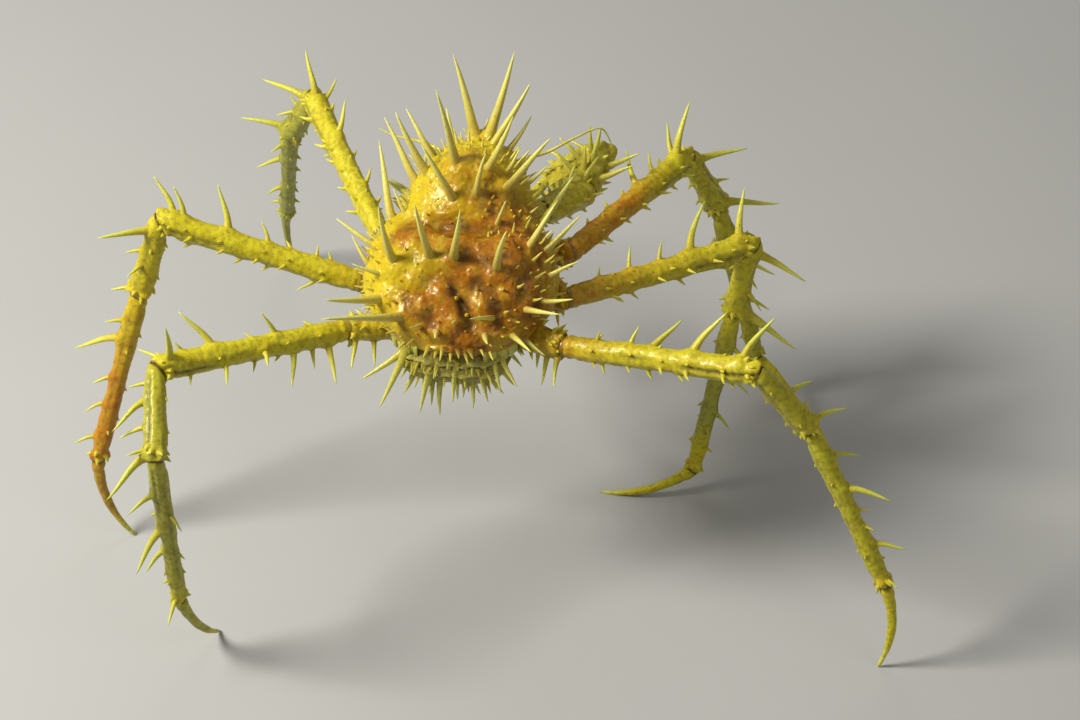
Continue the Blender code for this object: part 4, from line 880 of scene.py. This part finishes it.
cornea = eye_material()
horn_finish = shell_material(
    "feeler_horn", yellow=(0.58, 0.54, 0.06), amber=(0.42, 0.22, 0.03), grey=(0.40, 0.42, 0.12),
    pale=(0.66, 0.68, 0.16), dark=(0.16, 0.09, 0.02), mottle=0.4, specks=0.3, grain=0.4, bump=0.15,
    rough=0.34)
for side in SIGN:
    crab_piece("eye_%s_cornea" % side, eye_parts(side), cornea, "eye", "eye_" + side)
    start, end, radius = EYE_STALK
    path = straight_path(start, end, side, 24)
    stalk = [feeler_part(path, (radius, radius * 0.9, radius * 0.82, radius * 1.1, radius * 1.05), 0, 20)]
    crab_piece("eye_%s_stalk" % side, stalk, underside_finish, "body_shell", "eye_stalk_" + side)
    start, end, radius = ANTENNA_BASE
    path = straight_path(start, end, side, 36)
    base = [feeler_part(path, (radius, radius * 1.05, radius * 0.95, radius * 0.8, radius * 0.62), 3, 20)]
    for share, length in ((0.45, 7.0), (0.62, 9.0), (0.8, 5.0)):
        way = mirrored((0.6, -0.8, 0.5), side)
        base.append(body_spine(path[int(share * 35)], way, length, 1.0, 0.2, raised=1.5))
    crab_piece("antenna_%s_peduncle" % side, base, underside_finish, "body_shell", "antenna_base_" + side)
    whip = feeler_part(curved_path(FLAGELLA[side], 40), (1.1, 0.8, 0.6, 0.45, 0.3), 55, 10)
    crab_piece("antenna_%s_whip" % side, [whip], horn_finish, "feeler", "antenna_" + side)
    path = curved_path([mirrored(p, side) for p in ANTENNULE], 16)
    horn = feeler_part(path, (1.6, 1.5, 1.1, 0.5), 4, 12)
    crab_piece("antennule_%s_horn" % side, [horn], horn_finish, "feeler", "antennule_" + side)
    path = curved_path([mirrored(p, side) for p in MAXILLIPED], 18)
    mouth_leg = [feeler_part(path, (3.6, 3.6, 3.2, 3.3, 2.7, 2.6, 1.9, 1.0), 4, 20)]
    for i in range(BRISTLES):
        way = (RANDOM.uniform(-0.6, 0.6), -1.0, RANDOM.uniform(-0.5, 0.3))
        mouth_leg.append(body_spine(path[8 + 3 * i], way, RANDOM.uniform(2.5, 5), 0.6, raised=1.6))
    crab_piece("maxilliped_%s_shell" % side, mouth_leg, underside_finish, "body_shell", "maxilliped_" + side)

# The walking legs: three long pairs, each of a coxa, merus, carpus, propodus and dactyl. Every segment is its
# own tube of glossy shell with a rounded lip at either end, dark skin in the joint between two lips, teeth
# round the far rim, and furrows and thorns along it. The last is a smooth curved claw that meets the floor.
SEGMENT_LENGTHS = {"merus": 102.0, "carpus": 45.0, "propodus": 95.0, "dactyl": 49.0}
# Radius at shares of each segment's length
PROFILES = {
    "coxa": ((0.0, 7.0), (0.4, 7.2), (0.7, 6.8), (1.0, 6.3)),
    "merus": ((0.0, 5.2), (0.08, 5.8), (0.3, 5.8), (0.55, 5.9), (0.8, 6.4), (0.92, 6.5), (1.0, 4.6)),
    "carpus": ((0.0, 4.2), (0.2, 5.2), (0.5, 5.7), (0.8, 6.3), (0.93, 6.0), (1.0, 4.5)),
    "propodus": ((0.0, 4.2), (0.1, 5.0), (0.3, 4.7), (0.6, 4.2), (0.88, 4.4), (1.0, 3.5)),
    "dactyl": ((0.0, 3.2), (0.1, 3.2), (0.3, 2.5), (0.6, 2.0), (0.82, 1.4), (1.0, 0.8)),
}
LEG_FLATTENING = 0.9
DACTYL_BOW = 5.0
HIPS = {
    "left_2": (45.5, -17.5, -13.0), "left_3": (51.0, 9.0, -16.0), "left_4": (53.0, 38.0, -14.5),
    "right_2": (49.0, -16.0, -13.0), "right_3": (51.0, 9.0, -16.0), "right_4": (53.0, 38.0, -14.5),
}
COXA_ROOTS = {2: (24.3, -13.0, -18.2), 3: (24.3, 8.0, -18.2), 4: (24.3, 29.0, -18.2)}
# Turn from straight ahead and rise of merus, carpus and propodus, then the dactyl's turn and that of its bow
LEG_POSES = {
    "left_2": ((29.2, 6), (44, -58), (17, -65), 2, 0),
    "left_3": ((90, 15), (120, -72), (143, -69), -108, 0),
    "left_4": ((126, 9), (190, -31), (-56, -86), -33, 0),
    "right_2": ((28, -4), (53, -64), (111, -74), 134, 0),
    "right_3": ((55, -3), (-95, -81), (-142, -75), -103, -90),
    "right_4": ((107, 12), (81, -54), (109, -62), 179, 0),
}
# Share along the segment, angle from dorsal towards the front, length, lean towards the tip
LEG_SPINES = {
    "right_4_coxa": ((0.75, -140, 15, 5), (0.95, -125, 16, 15), (0.55, -165, 9, 0)),
    "left_4_coxa": ((0.6, -140, 13, 5), (0.9, -125, 15, 15)),
    "right_3_coxa": ((0.8, -140, 9, 10), (0.8, 20, 6, 10)),
    "left_3_coxa": ((0.8, -150, 10, 10), (0.8, 20, 7, 10)),
    "right_4_merus": ((0.18, 10, 6, 20), (0.34, 40, 10, 20), (0.43, 80, 24, 20), (0.66, 40, 26, 35),
        (0.92, 30, 26, 35), (0.74, 100, 10, 35), (0.16, -130, 4, 35), (0.2, -150, 6, 20),
        (0.34, -130, 4, 35), (0.58, 160, 6, 35)),
    "right_4_carpus": ((0.5, 70, 19, 35), (0.93, 40, 18, 35)),
    "right_4_propodus": ((0.18, 30, 14, 35), (0.3, 70, 4, 35), (0.38, 0, 22, 35), (0.52, 10, 6, 35),
        (0.62, -10, 6, 35), (0.74, 10, 16, 35), (0.96, -30, 7, 35)),
    "right_3_merus": ((0.17, 20, 6, 10), (0.34, 40, 12, 20), (0.5, 30, 10, 20), (0.67, 40, 26, 35),
        (0.94, 30, 25, 20), (0.95, 70, 10, 35), (0.32, -140, 6, 35), (0.46, -80, 6, 20), (0.62, -80, 6, 20),
        (0.76, -70, 6, 35)),
    "right_3_carpus": ((0.1, -40, 28, 20), (0.42, -80, 6, 20), (0.6, -80, 12, 20), (0.75, -40, 12, 20),
        (0.94, -50, 32, 20)),
    "right_3_propodus": ((0.62, -50, 12, 35), (0.2, -60, 12, 30), (0.38, -40, 16, 30), (0.86, -20, 5, 35)),
    "right_2_merus": ((0.6, 50, 20, 30), (0.74, 50, 11, 35), (0.9, 10, 28, 35), (0.91, 45, 18, 35),
        (0.16, -100, 4, 20), (0.34, -70, 4, 35), (0.52, -80, 4, 20)),
    "right_2_carpus": ((0.12, -30, 25, 20), (0.6, -20, 8, 35), (0.42, -90, 8, 20), (0.93, -50, 27, 20)),
    "right_2_propodus": ((0.15, -60, 13, 30), (0.35, -50, 20, 35), (0.6, -60, 9, 35), (0.78, -50, 12, 35)),
    "left_2_merus": ((0.32, 50, 9, 45), (0.68, 30, 17, 40), (0.95, 0, 24, 45), (0.94, 55, 13, 35),
        (0.58, -50, 4, 20), (0.42, -50, 4, 20), (0.22, -50, 4, 20)),
    "left_2_carpus": ((0.1, -30, 26, 30), (0.44, -10, 7, 20), (0.4, -70, 10, 35), (0.9, -50, 22, 20)),
    "left_2_propodus": ((0.1, -90, 8, 35), (0.3, -70, 16, 35), (0.64, -80, 10, 35), (0.86, -60, 6, 20)),
    "left_3_merus": ((0.21, -150, 11, 45), (0.24, 30, 6, 10), (0.48, 30, 11, 35), (0.68, 35, 23, 30),
        (0.9, 20, 16, 35), (0.95, 35, 21, 45)),
    "left_3_carpus": ((0.12, -20, 27, 10), (0.42, 0, 8, 25), (0.55, -50, 11, 15), (0.94, 10, 10, 30)),
    "left_3_propodus": ((0.16, 0, 9, 20), (0.27, 20, 26, 35), (0.5, 0, 10, 35), (0.66, 10, 12, 45),
        (0.86, 0, 12, 35)),
    "left_4_merus": ((0.38, 20, 14, 30), (0.7, 40, 23, 35), (0.86, 30, 6, 35), (0.94, -10, 24, 15),
        (0.94, 90, 14, 35), (0.84, -120, 6, 20), (0.66, -110, 12, 20), (0.5, -140, 6, 20),
        (0.46, -80, 14, 20), (0.3, -130, 18, 20), (0.2, -140, 10, 5), (0.12, -130, 20, 5)),
    "left_4_carpus": ((0.15, 80, 9, 10), (0.34, 70, 22, 45), (0.62, 90, 14, 20), (0.9, 60, 9, 20),
        (0.93, 95, 28, 45)),
    "left_4_propodus": ((0.22, 60, 16, 35), (0.46, 40, 26, 50), (0.62, 60, 16, 50), (0.36, -60, 10, 50),
        (0.64, -70, 5, 35), (0.96, 10, 14, 35)),
}
# Rows of thorns: angle from dorsal towards the front, number, length. Then the teeth round each far rim
THORN_ROWS = {
    "coxa": ((0, 3, 6.0), (-60, 3, 5.0), (-110, 3, 7.0), (60, 3, 5.0), (110, 3, 7.0)),
    "merus": ((-98, 5, 6.0), (-55, 5, 3.0), (62, 5, 5.0), (128, 5, 5.5), (-148, 4, 5.0), (15, 3, 2.0)),
    "carpus": ((-85, 2, 2.5), (50, 3, 2.5), (75, 2, 5.0), (150, 2, 4.0), (-150, 2, 2.5)),
    "propodus": ((-95, 2, 2.0), (36, 7, 2.2), (80, 5, 4.0), (130, 4, 3.0), (-165, 3, 2.0)),
    "dactyl": (),
}
TEETH = {"coxa": 8, "merus": 14, "carpus": 11, "propodus": 8, "dactyl": 0}
# No thorn stands this near to a long spine, in millimetres and degrees
THORN_ROOM, THORN_ROOM_ANGLE = 7, 45
LIMB_SIDES, LIMB_STEP = 44, 0.7
# How far from its ends a segment's first and last rings lie
LIP_RUNS = [0.0, 0.12, 0.35, 0.7, 1.1, 1.6, 2.2, 2.9]
SKIN_RINGS = 18
# Furrows along the shell: angle from dorsal towards the front, share where each starts and ends, depth
FURROWS = {
    "merus": ((-85, 0.6, 1.1, 0.8), (95, 0.65, 1.1, 0.6)),
    "carpus": ((-60, 0.1, 0.9, 0.5), (100, 0.2, 0.9, 0.5)),
    "propodus": ((-60, 0.05, 0.8, 0.4), (105, 0.1, 0.7, 0.4)),
    "right_4_merus": ((-78, 0.6, 1.1, 1.3), (-60, 0.3, 0.52, 0.7)),
    "right_4_carpus": ((-110, 0.0, 0.9, 0.4),),
    "right_4_propodus": ((-115, 0.0, 0.9, 0.35),),
    "left_4_merus": ((-95, 0.68, 1.1, 1.2),),
    "left_4_carpus": ((22, 0.1, 0.9, 1.0), (-45, 0.35, 0.7, 0.4)),
    "left_4_propodus": ((10, 0.0, 0.36, 0.9), (-45, 0.1, 0.85, 0.45)),
}
FURROW_WIDTH = 1.1
# How amber and how grey the segments are, as share along the segment and amount
EVEN_RUN = ((0, 0.12), (1, 0.12))
AMBER_RUNS = {
    "right_2_coxa": ((0, 1.0), (1, 1.0)), "right_3_coxa": ((0, 1.0), (1, 0.9)),
    "right_4_coxa": ((0, 0.8), (1, 0.6)), "left_2_coxa": ((0, 0.4), (1, 0.2)),
    "left_3_coxa": ((0, 0.5), (1, 0.2)), "left_4_coxa": ((0, 0.6), (1, 0.3)),
    "right_2_merus": ((0, 1.0), (0.45, 0.85), (0.65, 0.4), (0.85, 0.1)),
    "right_3_merus": ((0, 0.9), (0.2, 0.6), (0.5, 0.3), (0.8, 0.15)),
    "right_4_merus": ((0, 0.7), (0.15, 0.35), (0.4, 0.15)), "left_3_merus": ((0, 0.3), (0.3, 0.12)),
    "left_4_merus": ((0, 0.25), (0.3, 0.1)), "left_3_carpus": ((0, 0.1), (1, 0.3)),
    "left_3_propodus": ((0, 0.35), (0.3, 0.6), (0.6, 1.0), (1, 1.0)),
    "left_3_dactyl": ((0, 1.0), (0.55, 0.9), (1, 0.15)),
    "right_4_propodus": ((0, 0.05), (0.88, 0.1), (1, 0.5)), "right_4_dactyl": ((0, 0.1), (1, 0.05)),
}
GREY_RUNS = {
    "left_4_carpus": ((0, 0.5), (1, 0.6)), "left_4_propodus": ((0, 0.7), (0.8, 0.7), (1, 0.3)),
    "left_4_dactyl": ((0, 0.6), (0.6, 0.6), (1, 0.2)), "left_3_dactyl": ((0, 0.3), (0.5, 0.5), (1, 0.3)),
    "right_4_carpus": ((0, 0.4), (1, 0.3)), "right_4_propodus": ((0, 0.35), (0.8, 0.3), (1, 0.1)),
    "left_2_carpus": ((0, 0.5), (1, 0.7)), "left_2_propodus": ((0, 0.7), (1, 0.8)),
    "right_3_propodus": ((0, 0.0), (0.3, 0.8), (0.65, 0.8), (0.85, 0.0)),
    "right_2_carpus": ((0, 0.3), (1, 0.3)), "right_2_propodus": ((0, 0.4), (1, 0.6)),
    "left_2_dactyl": ((0, 0.8), (1, 0.6)),
}
Limb = namedtuple("Limb", "name start end up side profile start_cut end_cut bow flat")


def limb_chain(name, side, profiles, joints, last_cut):
    """Limb segments through the joints, each cut by the plane halfway between it and the next."""
    axes = [(b - a).normalized() for a, b in zip(joints[:-1], joints[1:])]
    up = Vector((0, 0, 1))
    ups = [None, (up - axes[1] * up.dot(axes[1])).normalized()]
    for i in range(2, len(axes)):
        ups.append(axes[i - 1].rotation_difference(axes[i]) @ ups[i - 1])
    ups[0] = axes[1].rotation_difference(axes[0]) @ ups[1]
    cuts = [(a + b).normalized() for a, b in zip(axes[:-1], axes[1:])]
    cuts = [along_body((SIGN[side], 0, 0))] + cuts + [last_cut]
    limbs = []
    for i, (segment, profile) in enumerate(profiles.items()):
        beside, straight = axes[i].cross(ups[i]) * SIGN[side], Vector((0, 0, 0))
        limbs.append(Limb(name + "_" + segment, joints[i], joints[i + 1], ups[i], beside, profile,
                          cuts[i], cuts[i + 1], straight, LEG_FLATTENING))
    return limbs


def toward(turn, rise):
    """The direction at a turn from straight ahead to the crab's left and a rise above level."""
    turn, rise = math.radians(turn), math.radians(rise)
    return Vector((math.sin(turn) * math.cos(rise), -math.cos(turn) * math.cos(rise), math.sin(rise)))


def leg_chain(name):
    """A leg's segments in their pose. The dactyl falls just far enough for its tip to meet the floor."""
    side, pair = name.split("_")
    *poses, last_turn, bow_turn = LEG_POSES[name]
    joints = [on_body(mirrored(COXA_ROOTS[int(pair)], side)), on_body(mirrored(HIPS[name], side))]
    for segment, (turn, rise) in zip(("merus", "carpus", "propodus"), poses):
        joints.append(joints[-1] + toward(SIGN[side] * turn, rise) * SEGMENT_LENGTHS[segment])
    fall = math.degrees(math.asin(joints[-1].z / SEGMENT_LENGTHS["dactyl"]))
    joints.append(joints[-1] + toward(SIGN[side] * last_turn, -fall) * SEGMENT_LENGTHS["dactyl"])
    *limbs, last = limb_chain(name, side, PROFILES, joints, Vector((0, 0, -1)))
    return limbs + [last._replace(bow=swung(last.up, last.side, math.radians(bow_turn)) * DACTYL_BOW)]


def limb_middle(limb, share):
    return limb.start.lerp(limb.end, share) + limb.bow * 4 * share * (1 - share)


def limb_seat(limb, share, angle):
    """The place and normal of a limb's surface at a share of its length and an angle from dorsal."""
    turn = math.radians(angle)
    out = swung(limb.up, limb.side * limb.flat, turn)
    normal = limb.up * math.cos(turn) + limb.side * math.sin(turn) / limb.flat
    return limb_middle(limb, share) + out * float(curve(*zip(*limb.profile), share)), normal.normalized()


def limb_seats(limb, listed, rows, teeth):
    """Where the limb's spines, thorns and blunt rim knobs stand: place, normal, way, length and girth."""
    axis, length = (limb.end - limb.start).normalized(), (limb.end - limb.start).length
    wanted = [one + (1.0,) for one in listed]
    for angle, count, size in rows:
        for i in range(count):
            share = 0.1 + 0.82 * (i + 0.5 + RANDOM.uniform(-0.22, 0.22)) / count
            if any(abs(share - near) * length < THORN_ROOM and abs(angle - turn) < THORN_ROOM_ANGLE
                   for near, turn, *rest in listed):
                continue
            wanted.append((share, angle + RANDOM.uniform(-10, 10), size * RANDOM.uniform(0.75, 1.2),
                           RANDOM.uniform(28, 50), 1.25))
    for i in range(teeth):
        share = 1 - RANDOM.uniform(1.2, 5.5) / length
        angle = 360 * (i + RANDOM.uniform(-0.35, 0.35)) / teeth
        size, lean = RANDOM.uniform(1.6, 4.0), RANDOM.uniform(20, 60)
        wanted.append((share, angle, size, lean, RANDOM.uniform(1.4, 2.2)))
    seats = []
    for share, angle, size, lean, girth in wanted:
        place, normal = limb_seat(limb, share, angle)
        seats.append((place, normal, swung(normal, axis, math.radians(lean)), size, girth))
    return seats


def limb_rings(limb, runs, turns, pointed):
    """The rings of a bare segment between its two cuts, with a lip at each end, and how dark each ring is."""
    axis, length = (limb.end - limb.start).normalized(), (limb.end - limb.start).length
    up, side = np.array(limb.up), np.array(limb.side)
    outs = np.cos(turns)[:, None] * up + np.sin(turns)[:, None] * side * limb.flat
    lobes = 0.8 * np.cos(turns * 3 + RANDOM.uniform(0, 6)) + 0.8 * np.cos(turns * 5 + RANDOM.uniform(0, 6))
    rings, dark = [], []
    for run in runs:
        radius = float(curve(*zip(*limb.profile), run / length))
        at_start = run < length / 2
        near, cut = (run, limb.start_cut) if at_start else (length - run, limb.end_cut)
        lip = 1.0 if near > 1.1 else 0.74 + 0.26 * math.sqrt(max(0.0, 1 - (1 - near / 1.1) ** 2))
        collar = 0.35 * hump(near - 3.2, 1.5) - 0.3 * hump(near - 6.2, 1.6)
        if not at_start:
            collar = collar + lobes * hump(near - 2.4, 2.4)
        if pointed and not at_start:
            lip, collar = 1.0 if near > 2.5 else 0.35 + 0.65 * (near / 2.5) ** 0.6, 0.0 * lobes
        fade = max(0.0, 1 - near / (2.0 * radius))
        out = outs * np.reshape(radius + collar, (-1, 1)) * lip
        slide = ((0.12 if at_start else -0.12) - out @ np.array(cut)) / cut.dot(axis)
        rings.append(np.array(limb_middle(limb, run / length)) + out + np.array(axis) * slide[:, None] * fade)
        dark.append(0.0 if pointed and not at_start else hump(near, 0.7))
    return np.array(rings), np.array(dark)[:, None]


def furrows_on(limb, shares, turns):
    """How deep the segment's furrows are at each of its points."""
    depths = np.zeros((len(shares), len(turns)))
    for angle, first, last, depth in FURROWS.get(limb.name, FURROWS.get(limb.name.split("_")[-1], ())):
        off = (turns - math.radians(angle) + math.pi) % (2 * math.pi) - math.pi
        along = np.clip(np.minimum(shares - first, last - shares) / 0.1, 0, 1)
        depths = np.maximum(depths, depth * along[:, None] * hump(off * limb.profile[1][1], FURROW_WIDTH))
    return depths


def limb_parts(limb, seats, amber_run, grey_run, pointed):
    """The shell of a limb segment with its lips, swellings, furrows and spines."""
    axis, length = (limb.end - limb.start).normalized(), (limb.end - limb.start).length
    body = np.arange(3.5, length - 3.4, LIMB_STEP)
    runs = np.concatenate([LIP_RUNS, body, [length - run for run in LIP_RUNS[::-1]]])
    turns = np.linspace(0, 2 * math.pi, LIMB_SIDES, endpoint=False)
    normals = (np.cos(turns)[:, None] * np.array(limb.up)
               + np.sin(turns)[:, None] * np.array(limb.side) / limb.flat)
    normals /= np.linalg.norm(normals, axis=1, keepdims=True)
    rings, dark = limb_rings(limb, runs, turns, pointed)
    spread, shares = np.broadcast_to(normals, rings.shape), runs / length
    calm = np.clip(np.minimum(runs, length - runs) / 3, 0, 1)[:, None]
    grain = np.clip(noise_at(rings, 2.2, 13), -0.3, 1) * 0.34
    flutes = 0.1 * np.cos(turns * 8 + 1.3)[None, :] * calm
    furrow = furrows_on(limb, shares, turns)
    relief = noise_at(rings, 8.0, 12) * 0.6 + grain + flutes - furrow
    relief = relief * calm * limb.profile[0][1] / 6
    roots = [(place, 0.35 + 0.06 * size, 1.5 + 0.13 * size) for place, normal, way, size, girth in seats]
    rings = swollen(rings, spread, roots) + spread * relief[..., None]
    rings[..., 2] = np.maximum(rings[..., 2], 0.0)
    # Painted shadows that the thorns cast on the shell, just below and beyond their roots
    thorn_shadows = np.zeros(rings.shape[:2])
    for place, normal, way, size, girth in seats:
        behind = np.array(place - limb.up * 0.5 + axis * 0.8)
        away = ((rings - behind) ** 2).sum(-1) / (0.9 + 0.045 * size) ** 2
        thorn_shadows = np.maximum(thorn_shadows, np.exp(-away))
    marks = np.zeros(rings.shape[:2] + (len(MARKS),))
    # Faces turned down are painted greyer and less amber as shade
    below = np.clip(-spread[..., 2], 0, 1)
    marks[..., 0] = np.clip((shares[:, None] - 0.7) * 2.5, 0, 0.7) if pointed else 0.0
    marks[..., 1] = np.interp(shares, *zip(*amber_run))[:, None] * (1 - 0.4 * below)
    # The furrows are painted greyer and darker as shade, and the dips of the grain darker as shade
    marks[..., 2] = np.interp(shares, *zip(*grey_run))[:, None] + 0.6 * below + 0.6 * furrow
    marks[..., 3] = dark * 0.85 + np.clip(-grain * 3, 0, 0.3) + 0.45 * thorn_shadows + 0.5 * furrow
    parts = [tube_part(rings, marks)]
    for place, normal, way, size, girth in seats:
        share = (Vector(place) - limb.start).dot(axis) / length
        amber, grey = (float(np.interp(share, *zip(*run))) for run in (amber_run, grey_run))
        radius = (min(0.45 + 0.058 * size, 2.3) if size > 10 else 0.4 + 0.075 * size) * girth
        parts.append(spine_part(Vector(place) - normal * 0.2, normal, way, size, radius, 0.3 + 0.5 * amber,
                                grey * 0.6, 0.04, 0.2))
    return parts


def joint_skin(limb, dark):
    """The folded skin that fills the joint at a segment's end."""
    latitudes, radius = np.linspace(-80, 80, SKIN_RINGS), limb.profile[-1][1] * 0.86
    rings = ball_rings(limb.end, limb.end_cut, radius, latitudes, 0.7, 0.04)
    return tube_part(rings, [(0, 0.8, 0.0, dark)] * (SKIN_RINGS * BALL_SIDES))


leg_finish = shell_material(
    "leg_varnish", yellow=(0.62, 0.57, 0.010), amber=(0.52, 0.17, 0.002), grey=(0.25, 0.28, 0.05),
    pale=(0.66, 0.70, 0.12), dark=(0.07, 0.03, 0.005), mottle=0.55, specks=0.7, grain=0.7, bump=0.45,
    rough=0.33, coat=0.14)
skins = []
for name in LEG_POSES:
    chain = leg_chain(name)
    for limb in chain:
        segment = limb.name.split("_")[-1]
        seats = limb_seats(limb, LEG_SPINES.get(limb.name, ()), THORN_ROWS[segment], TEETH[segment])
        amber, grey = (runs.get(limb.name, EVEN_RUN) for runs in (AMBER_RUNS, GREY_RUNS))
        parts = limb_parts(limb, seats, amber, grey, segment == "dactyl")
        crab_piece("leg_%s_shell" % limb.name, parts, leg_finish, "leg_shell", "leg_" + limb.name)
    skins += [joint_skin(limb, 0.3 if limb is chain[0] else 0.7) for limb in chain[:-1]]

# The claws: two legs in front, folded down and in, each of coxa, merus, carpus, a swollen palm with a fixed
# finger, and a movable finger. They are as thorny as the legs and greener, and both fingers taper to a tip.
CLAW_JOINTS = {
    "left": ((24.3, -37, -17), (32, -41, -20), (38, -62, -48), (33, -74, -66), (17, -72, -96),
             (4, -66, -122)),
    "right": ((-24.3, -37, -17), (-32, -42, -19), (-48, -68, -35), (-53, -86, -31), (-29, -86, -56),
              (-8, -80, -78)),
}
CLAW_PROFILES = {
    "coxa": ((0.0, 6.0), (0.5, 6.2), (1.0, 5.8)),
    "merus": ((0.0, 6.0), (0.3, 7.2), (0.7, 8.2), (1.0, 7.6)),
    "carpus": ((0.0, 6.6), (0.35, 8.2), (0.75, 8.2), (1.0, 6.6)),
    "palm": ((0.0, 5.6), (0.22, 8.0), (0.6, 9.0), (0.85, 8.6), (1.0, 7.6)),
    "finger": ((0.0, 3.2), (0.3, 2.8), (0.7, 1.8), (1.0, 0.8)),
}
PALM_FLATTENING = 0.72
FINGER_OFFSET = 4.0
CLAW_SPINES = {
    "merus": ((0.35, 0, 8, 34), (0.6, 10, 12, 34), (0.85, -8, 18, 34)),
    "carpus": ((0.4, 5, 14, 34), (0.6, -10, 24, 34), (0.85, 8, 18, 34), (0.34, 60, 16, 22), (0.7, 60, 16, 22),
               (0.34, -60, 22, 22), (0.7, -60, 22, 22)),
    "palm": ((0.15, 8, 9, 34), (0.4, -8, 12, 34), (0.65, 6, 9, 34)),
}
CLAW_THORN_ROWS = {
    "coxa": ((0, 2, 5.0), (90, 2, 5.0), (-90, 2, 5.0)),
    "merus": ((75, 4, 6.0), (-75, 4, 6.0), (150, 3, 4.0), (-150, 3, 4.0), (35, 3, 3.0)),
    "carpus": ((130, 3, 6.0), (-130, 3, 5.0), (25, 2, 5.0)),
    "palm": ((55, 5, 6.0), (-55, 5, 6.0), (100, 5, 4.5), (-100, 5, 4.5), (150, 4, 4.0), (-150, 4, 4.0),
             (0, 4, 4.0)),
    "finger": ((60, 4, 2.5), (-60, 4, 2.5)),
}
CLAW_TEETH = {"coxa": 5, "merus": 10, "carpus": 9, "palm": 6, "finger": 0}
CLAW_RUN, FIXED_FINGER_GREY = ((0, 0.15), (1, 0.15)), ((0, 0.2), (1, 0.2))


def claw_chain(side):
    """The claw's segments, with its movable finger set over the fixed one, and the fixed finger."""
    joints = [on_body(p) for p in CLAW_JOINTS[side]]
    ends = (joints[-1] - joints[-2]).normalized()
    *arm, palm, finger = limb_chain(side, side, CLAW_PROFILES, joints, ends)
    up = finger.up * FINGER_OFFSET
    fixed = finger._replace(name=side + "_fixed", start=finger.start - up - ends * 4,
                            end=finger.end - up * 0.8)
    start = finger.start + up
    start -= palm.end_cut * (start - palm.end).dot(palm.end_cut)
    finger = finger._replace(start=start, end=finger.end - up * 0.2, start_cut=palm.end_cut)
    finger = finger._replace(end_cut=(finger.end - finger.start).normalized())
    return arm + [palm._replace(flat=PALM_FLATTENING), finger], fixed


claw_finish = shell_material(
    "claw_varnish", yellow=(0.56, 0.52, 0.025), amber=(0.42, 0.19, 0.008), grey=(0.34, 0.33, 0.07),
    pale=(0.68, 0.68, 0.14), dark=(0.06, 0.035, 0.01), mottle=0.9, specks=0.6, grain=0.9, bump=0.4,
    rough=0.32)
for side in SIGN:
    chain, fixed = claw_chain(side)
    for limb in chain:
        segment = limb.name.split("_")[-1]
        spines, rows = CLAW_SPINES.get(segment, ()), CLAW_THORN_ROWS[segment]
        seats = limb_seats(limb, spines, rows, CLAW_TEETH[segment])
        parts = limb_parts(limb, seats, CLAW_RUN, CLAW_RUN, segment == "finger")
        if segment == "palm":
            parts += limb_parts(fixed, [], CLAW_RUN, FIXED_FINGER_GREY, True)
        crab_piece("claw_%s_shell" % limb.name, parts, claw_finish, "claw_shell", "claw_" + limb.name)
    skins += [joint_skin(limb, 0.7) for limb in chain[:-2]]
crab_piece("joint_skins", skins, underside_finish, "body_shell")

# The setting: a pale floor, soft studio light from the crab's left and above, and a camera behind it, raised
# as in the photograph. The camera looks at a point over the middle of the body's place.
CAMERA_AZIMUTH = 189.0
CAMERA_ELEVATION = 42.6
CAMERA_DISTANCE = 2009.0
CAMERA_ROLL = -0.4
FOCAL_PIXELS = 3994.0
PICTURE_WIDTH = 1080
AIM = (0.0, 0.0, 60.0)
AIM_PIXELS = (-74.3, -63.2)


def studio_light(name, azimuth, elevation, distance, size, power, colour):
    lamp = bpy.data.lights.new(name, "AREA")
    lamp.shape, lamp.size, lamp.energy, lamp.color = "DISK", size, power, colour
    placed = bpy.data.objects.new(name, lamp)
    way = toward(azimuth, elevation)
    placed.location = way * distance + Vector((0, 0, 0.12))
    placed.rotation_euler = way.to_track_quat("Z", "Y").to_euler()
    bpy.context.scene.collection.objects.link(placed)


def floor_material():
    made, tree, shader = new_material("pale_floor")
    cloud = texture(tree, "TexNoise", "Fac", Scale=6.0, Detail=2.0)
    colour = blended(tree, cloud, (0.41, 0.41, 0.40, 1), (0.44, 0.44, 0.43, 1))
    tree.links.new(colour, shader.inputs["Base Color"])
    shader.inputs["Roughness"].default_value = 0.8
    return made


floor_mesh = bpy.data.meshes.new("studio_floor")
floor_mesh.from_pydata([(-4, -4, 0), (4, -4, 0), (4, 4, 0), (-4, 4, 0)], [], [(0, 1, 2, 3)])
floor_mesh.materials.append(floor_material())
studio_floor = bpy.data.objects.new("studio_floor", floor_mesh)
bpy.context.scene.collection.objects.link(studio_floor)

world = bpy.data.worlds.new("soft_sky")
world.use_nodes = True
world.node_tree.nodes["Background"].inputs["Color"].default_value = (0.82, 0.81, 0.78, 1)
world.node_tree.nodes["Background"].inputs["Strength"].default_value = 0.22
bpy.context.scene.world = world
studio_light("key", 108, 44, 1.5, 0.5, 31, (1.0, 0.97, 0.90))
studio_light("fill", 240, 40, 1.6, 0.9, 3, (1.0, 0.97, 0.92))
studio_light("rim", 10, 55, 1.4, 0.6, 2, (1.0, 0.97, 0.92))
bpy.context.scene.view_settings.view_transform = "Standard"

view = bpy.data.cameras.new("camera")
view.sensor_width = 36.0
view.lens = FOCAL_PIXELS / PICTURE_WIDTH * view.sensor_width
view.shift_x, view.shift_y = -AIM_PIXELS[0] / PICTURE_WIDTH, -AIM_PIXELS[1] / PICTURE_WIDTH
view.clip_end = 50.0
camera = bpy.data.objects.new("camera", view)
back = toward(CAMERA_AZIMUTH, CAMERA_ELEVATION)
camera.location = (back * CAMERA_DISTANCE + Vector(AIM) + Vector(SHIFT)) * MM
camera.rotation_euler = ((back.to_track_quat("Z", "Y").to_matrix()
                          @ Matrix.Rotation(math.radians(CAMERA_ROLL), 3, "Z")).to_euler())
bpy.context.scene.collection.objects.link(camera)
bpy.context.scene.camera = camera
